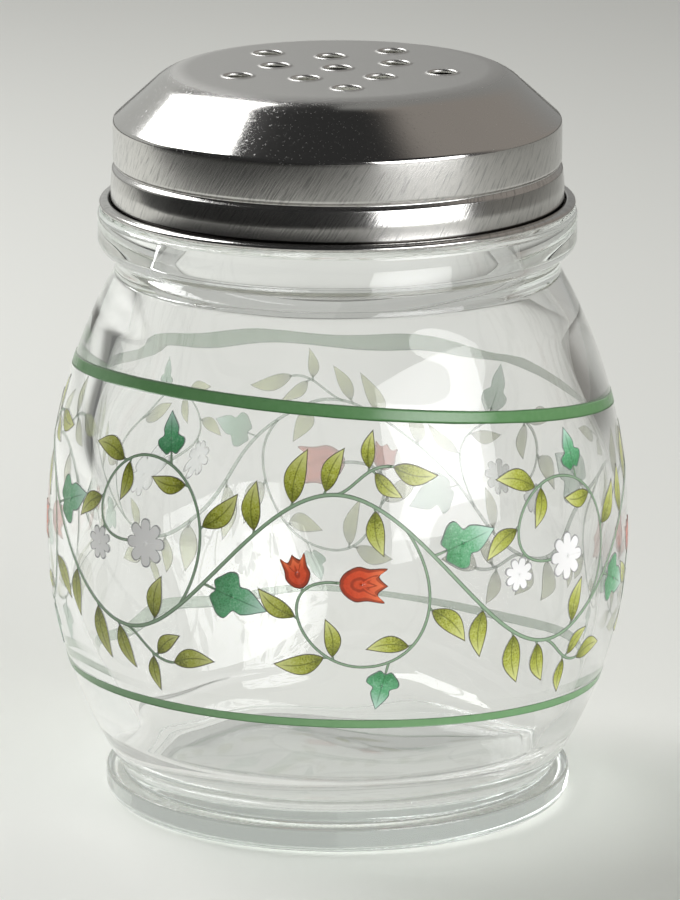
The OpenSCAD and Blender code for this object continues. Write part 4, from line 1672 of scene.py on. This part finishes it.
@dataclass
class Studio:
    """The camera, the pale floor, the lamps and the room that the glass and metal show.

    The table's turn and the room's spans are in degrees, and the table's edges in metres. The room's
    spans run round from the front towards +X, and its tops run up from the level.
    """

    eye: tuple[float, float, float] = (0.0004, -0.9383, 0.2927)
    pitch: float = 14.21
    focal_pixels: float = 6133.7
    frame_height: int = 900
    sensor: float = 24.0
    floor_half: float = 4.0
    floor_rough: float = 0.7
    floor_glow: float = 0.04
    floor_falloff_tones: tuple[Colour, Colour] = (srgb(229, 230, 225), srgb(228, 229, 224))
    floor_slant: float = 0.35
    floor_span: tuple[float, float] = (0.1, 0.85)
    table_turn: float = -56.0
    table_edge: tuple[float, float] = (0.4, 0.47)
    table_front: tuple[float, float] = (-0.36, -0.52)
    table_front_share: float = 0.55
    table_dark: Colour = grey(0.03)
    room_dark: Colour = grey(0.035)
    room_left: Colour = srgb(192, 193, 190)
    room_right: Colour = srgb(156, 150, 144)
    room_behind: Colour = srgb(150, 150, 148)
    room_through: Colour = srgb(188, 189, 184)
    room_seen: Colour = srgb(205, 206, 202)
    left_span: tuple[float, float] = (-92.0, -112.0)
    left_top: tuple[float, float] = (42.0, 22.0)
    right_span: tuple[float, float] = (68.0, 100.0)
    right_top: tuple[float, float] = (82.0, 66.0)
    behind_span: tuple[float, float] = (135.0, 165.0)
    side_spans: tuple[tuple[float, float], tuple[float, float]] = ((25.0, 45.0), (135.0, 115.0))
    through_share: float = 0.8
    deep_turns: float = 3.5
    aim: Vector = field(default_factory=lambda: Vector((0.0, 0.0, 0.06)))
    softboxes: tuple[Softbox, ...] = (
        Softbox("key", 43.0, 14.0, 1.0, 0.86, 0.66, 7.8, 88.0),
        Softbox("back", -127.0, 47.0, 0.9, 0.5, 0.54, 8.2))

    def camera(self) -> None:
        """Sets the camera that the photograph was taken from."""
        data = bpy.data.cameras.new("camera")
        data.sensor_fit = "VERTICAL"
        data.sensor_height = self.sensor
        data.lens = self.focal_pixels * self.sensor / self.frame_height
        view = linked("camera", data)
        view.location = self.eye
        view.rotation_euler = (math.radians(90 - self.pitch), 0.0, 0.0)
        bpy.context.scene.camera = view

    def floor(self) -> None:
        """Lays the pale floor, which metal and glass mirror only as far as a table's edges; its colour is
        slightly darker towards the back, a painted falloff of light.
        """
        corners = self.floor_half * np.array([[-1, -1, 0], [1, -1, 0], [1, 1, 0], [-1, 1, 0]])
        floor = shown("floor", corners, [(0, 1, 2, 3)])
        shader = Shader(bpy.data.materials.new("floor"))
        x, y, _ = shader.split(shader.place())
        # Painted falloff of light: the floor's colour turns slightly darker towards the back and left.
        pale = shader.mix((y - x * self.floor_slant).rise(*self.floor_span), *self.floor_falloff_tones)
        edge_turn = math.radians(self.table_turn)
        away = x * math.sin(edge_turn) - y * math.cos(edge_turn)
        front = y.rise(*self.table_front) * self.table_front_share
        beyond = away.rise(*self.table_edge).math("MAXIMUM", front) * shader.ray("Is Glossy Ray")
        glow = shader.mix(shader.ray("Is Transmission Ray") * self.floor_glow, grey(0.0), pale)
        shader.surface(Base_Color=shader.mix(beyond, pale, self.table_dark), Roughness=self.floor_rough,
                       Emission_Color=glow, Emission_Strength=1.0)
        floor.data.materials.append(shader.owner)

    def room(self) -> None:
        """Sets the room: pale to the eye and through glass, with grey walls to the left and right.

        Metal and glass mirror the walls, and what lies between them is dark. Light that has been
        through glass meets the pale room in front and behind, but not at the sides.
        """
        world = bpy.data.worlds.new("room")
        bpy.context.scene.world = world
        shader = Shader(world)
        x, y, z = shader.split(shader.node("ShaderNodeTexCoord", {}, "Generated"))
        azimuth = x.math("ARCTAN2", 0.0 - y) * (180 / math.pi)
        elevation = z.math("ARCSINE") * (180 / math.pi)
        left = azimuth.rise(*self.left_span) * elevation.rise(*self.left_top)
        right = azimuth.rise(*self.right_span) * elevation.rise(*self.right_top)
        wall = shader.mix(abs(azimuth).rise(*self.behind_span), self.room_right, self.room_behind)
        light = shader.mix(right, shader.mix(left, self.room_dark, self.room_left), wall)
        deep = shader.ray("Ray Depth").math("GREATER_THAN", self.deep_turns)
        through = shader.ray("Is Transmission Ray").math("MAXIMUM", deep)
        through = through * (1.0 - shader.ray("Is Diffuse Ray"))
        front_side, back_side = (abs(azimuth).rise(*span) for span in self.side_spans)
        through = through * (1.0 - front_side * back_side)
        light = shader.mix(through * self.through_share, light, self.room_through)
        light = shader.mix(shader.ray("Is Camera Ray"), light, self.room_seen)
        shader.output(shader.node("ShaderNodeBackground", {"Color": light, "Strength": 1.0}))

    def build(self) -> None:
        """Sets up the whole studio."""
        scene = bpy.context.scene
        scene.view_settings.view_transform = "Standard"
        self.camera()
        self.floor()
        self.room()
        for softbox in self.softboxes:
            softbox.build(self.aim)


def main() -> None:
    """Loads the frame, sets up the studio, then builds and dresses every piece."""
    logging.basicConfig(level=logging.INFO, format="%(name)s: %(message)s")
    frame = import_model()
    Studio().build()
    barrel = Barrel()
    GlassJar(barrel).build()
    SteelCap().build()
    Closure(frame["nodes"]).dress()
    Border(barrel).build()
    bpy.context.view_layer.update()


if __name__ == "__main__":
    main()
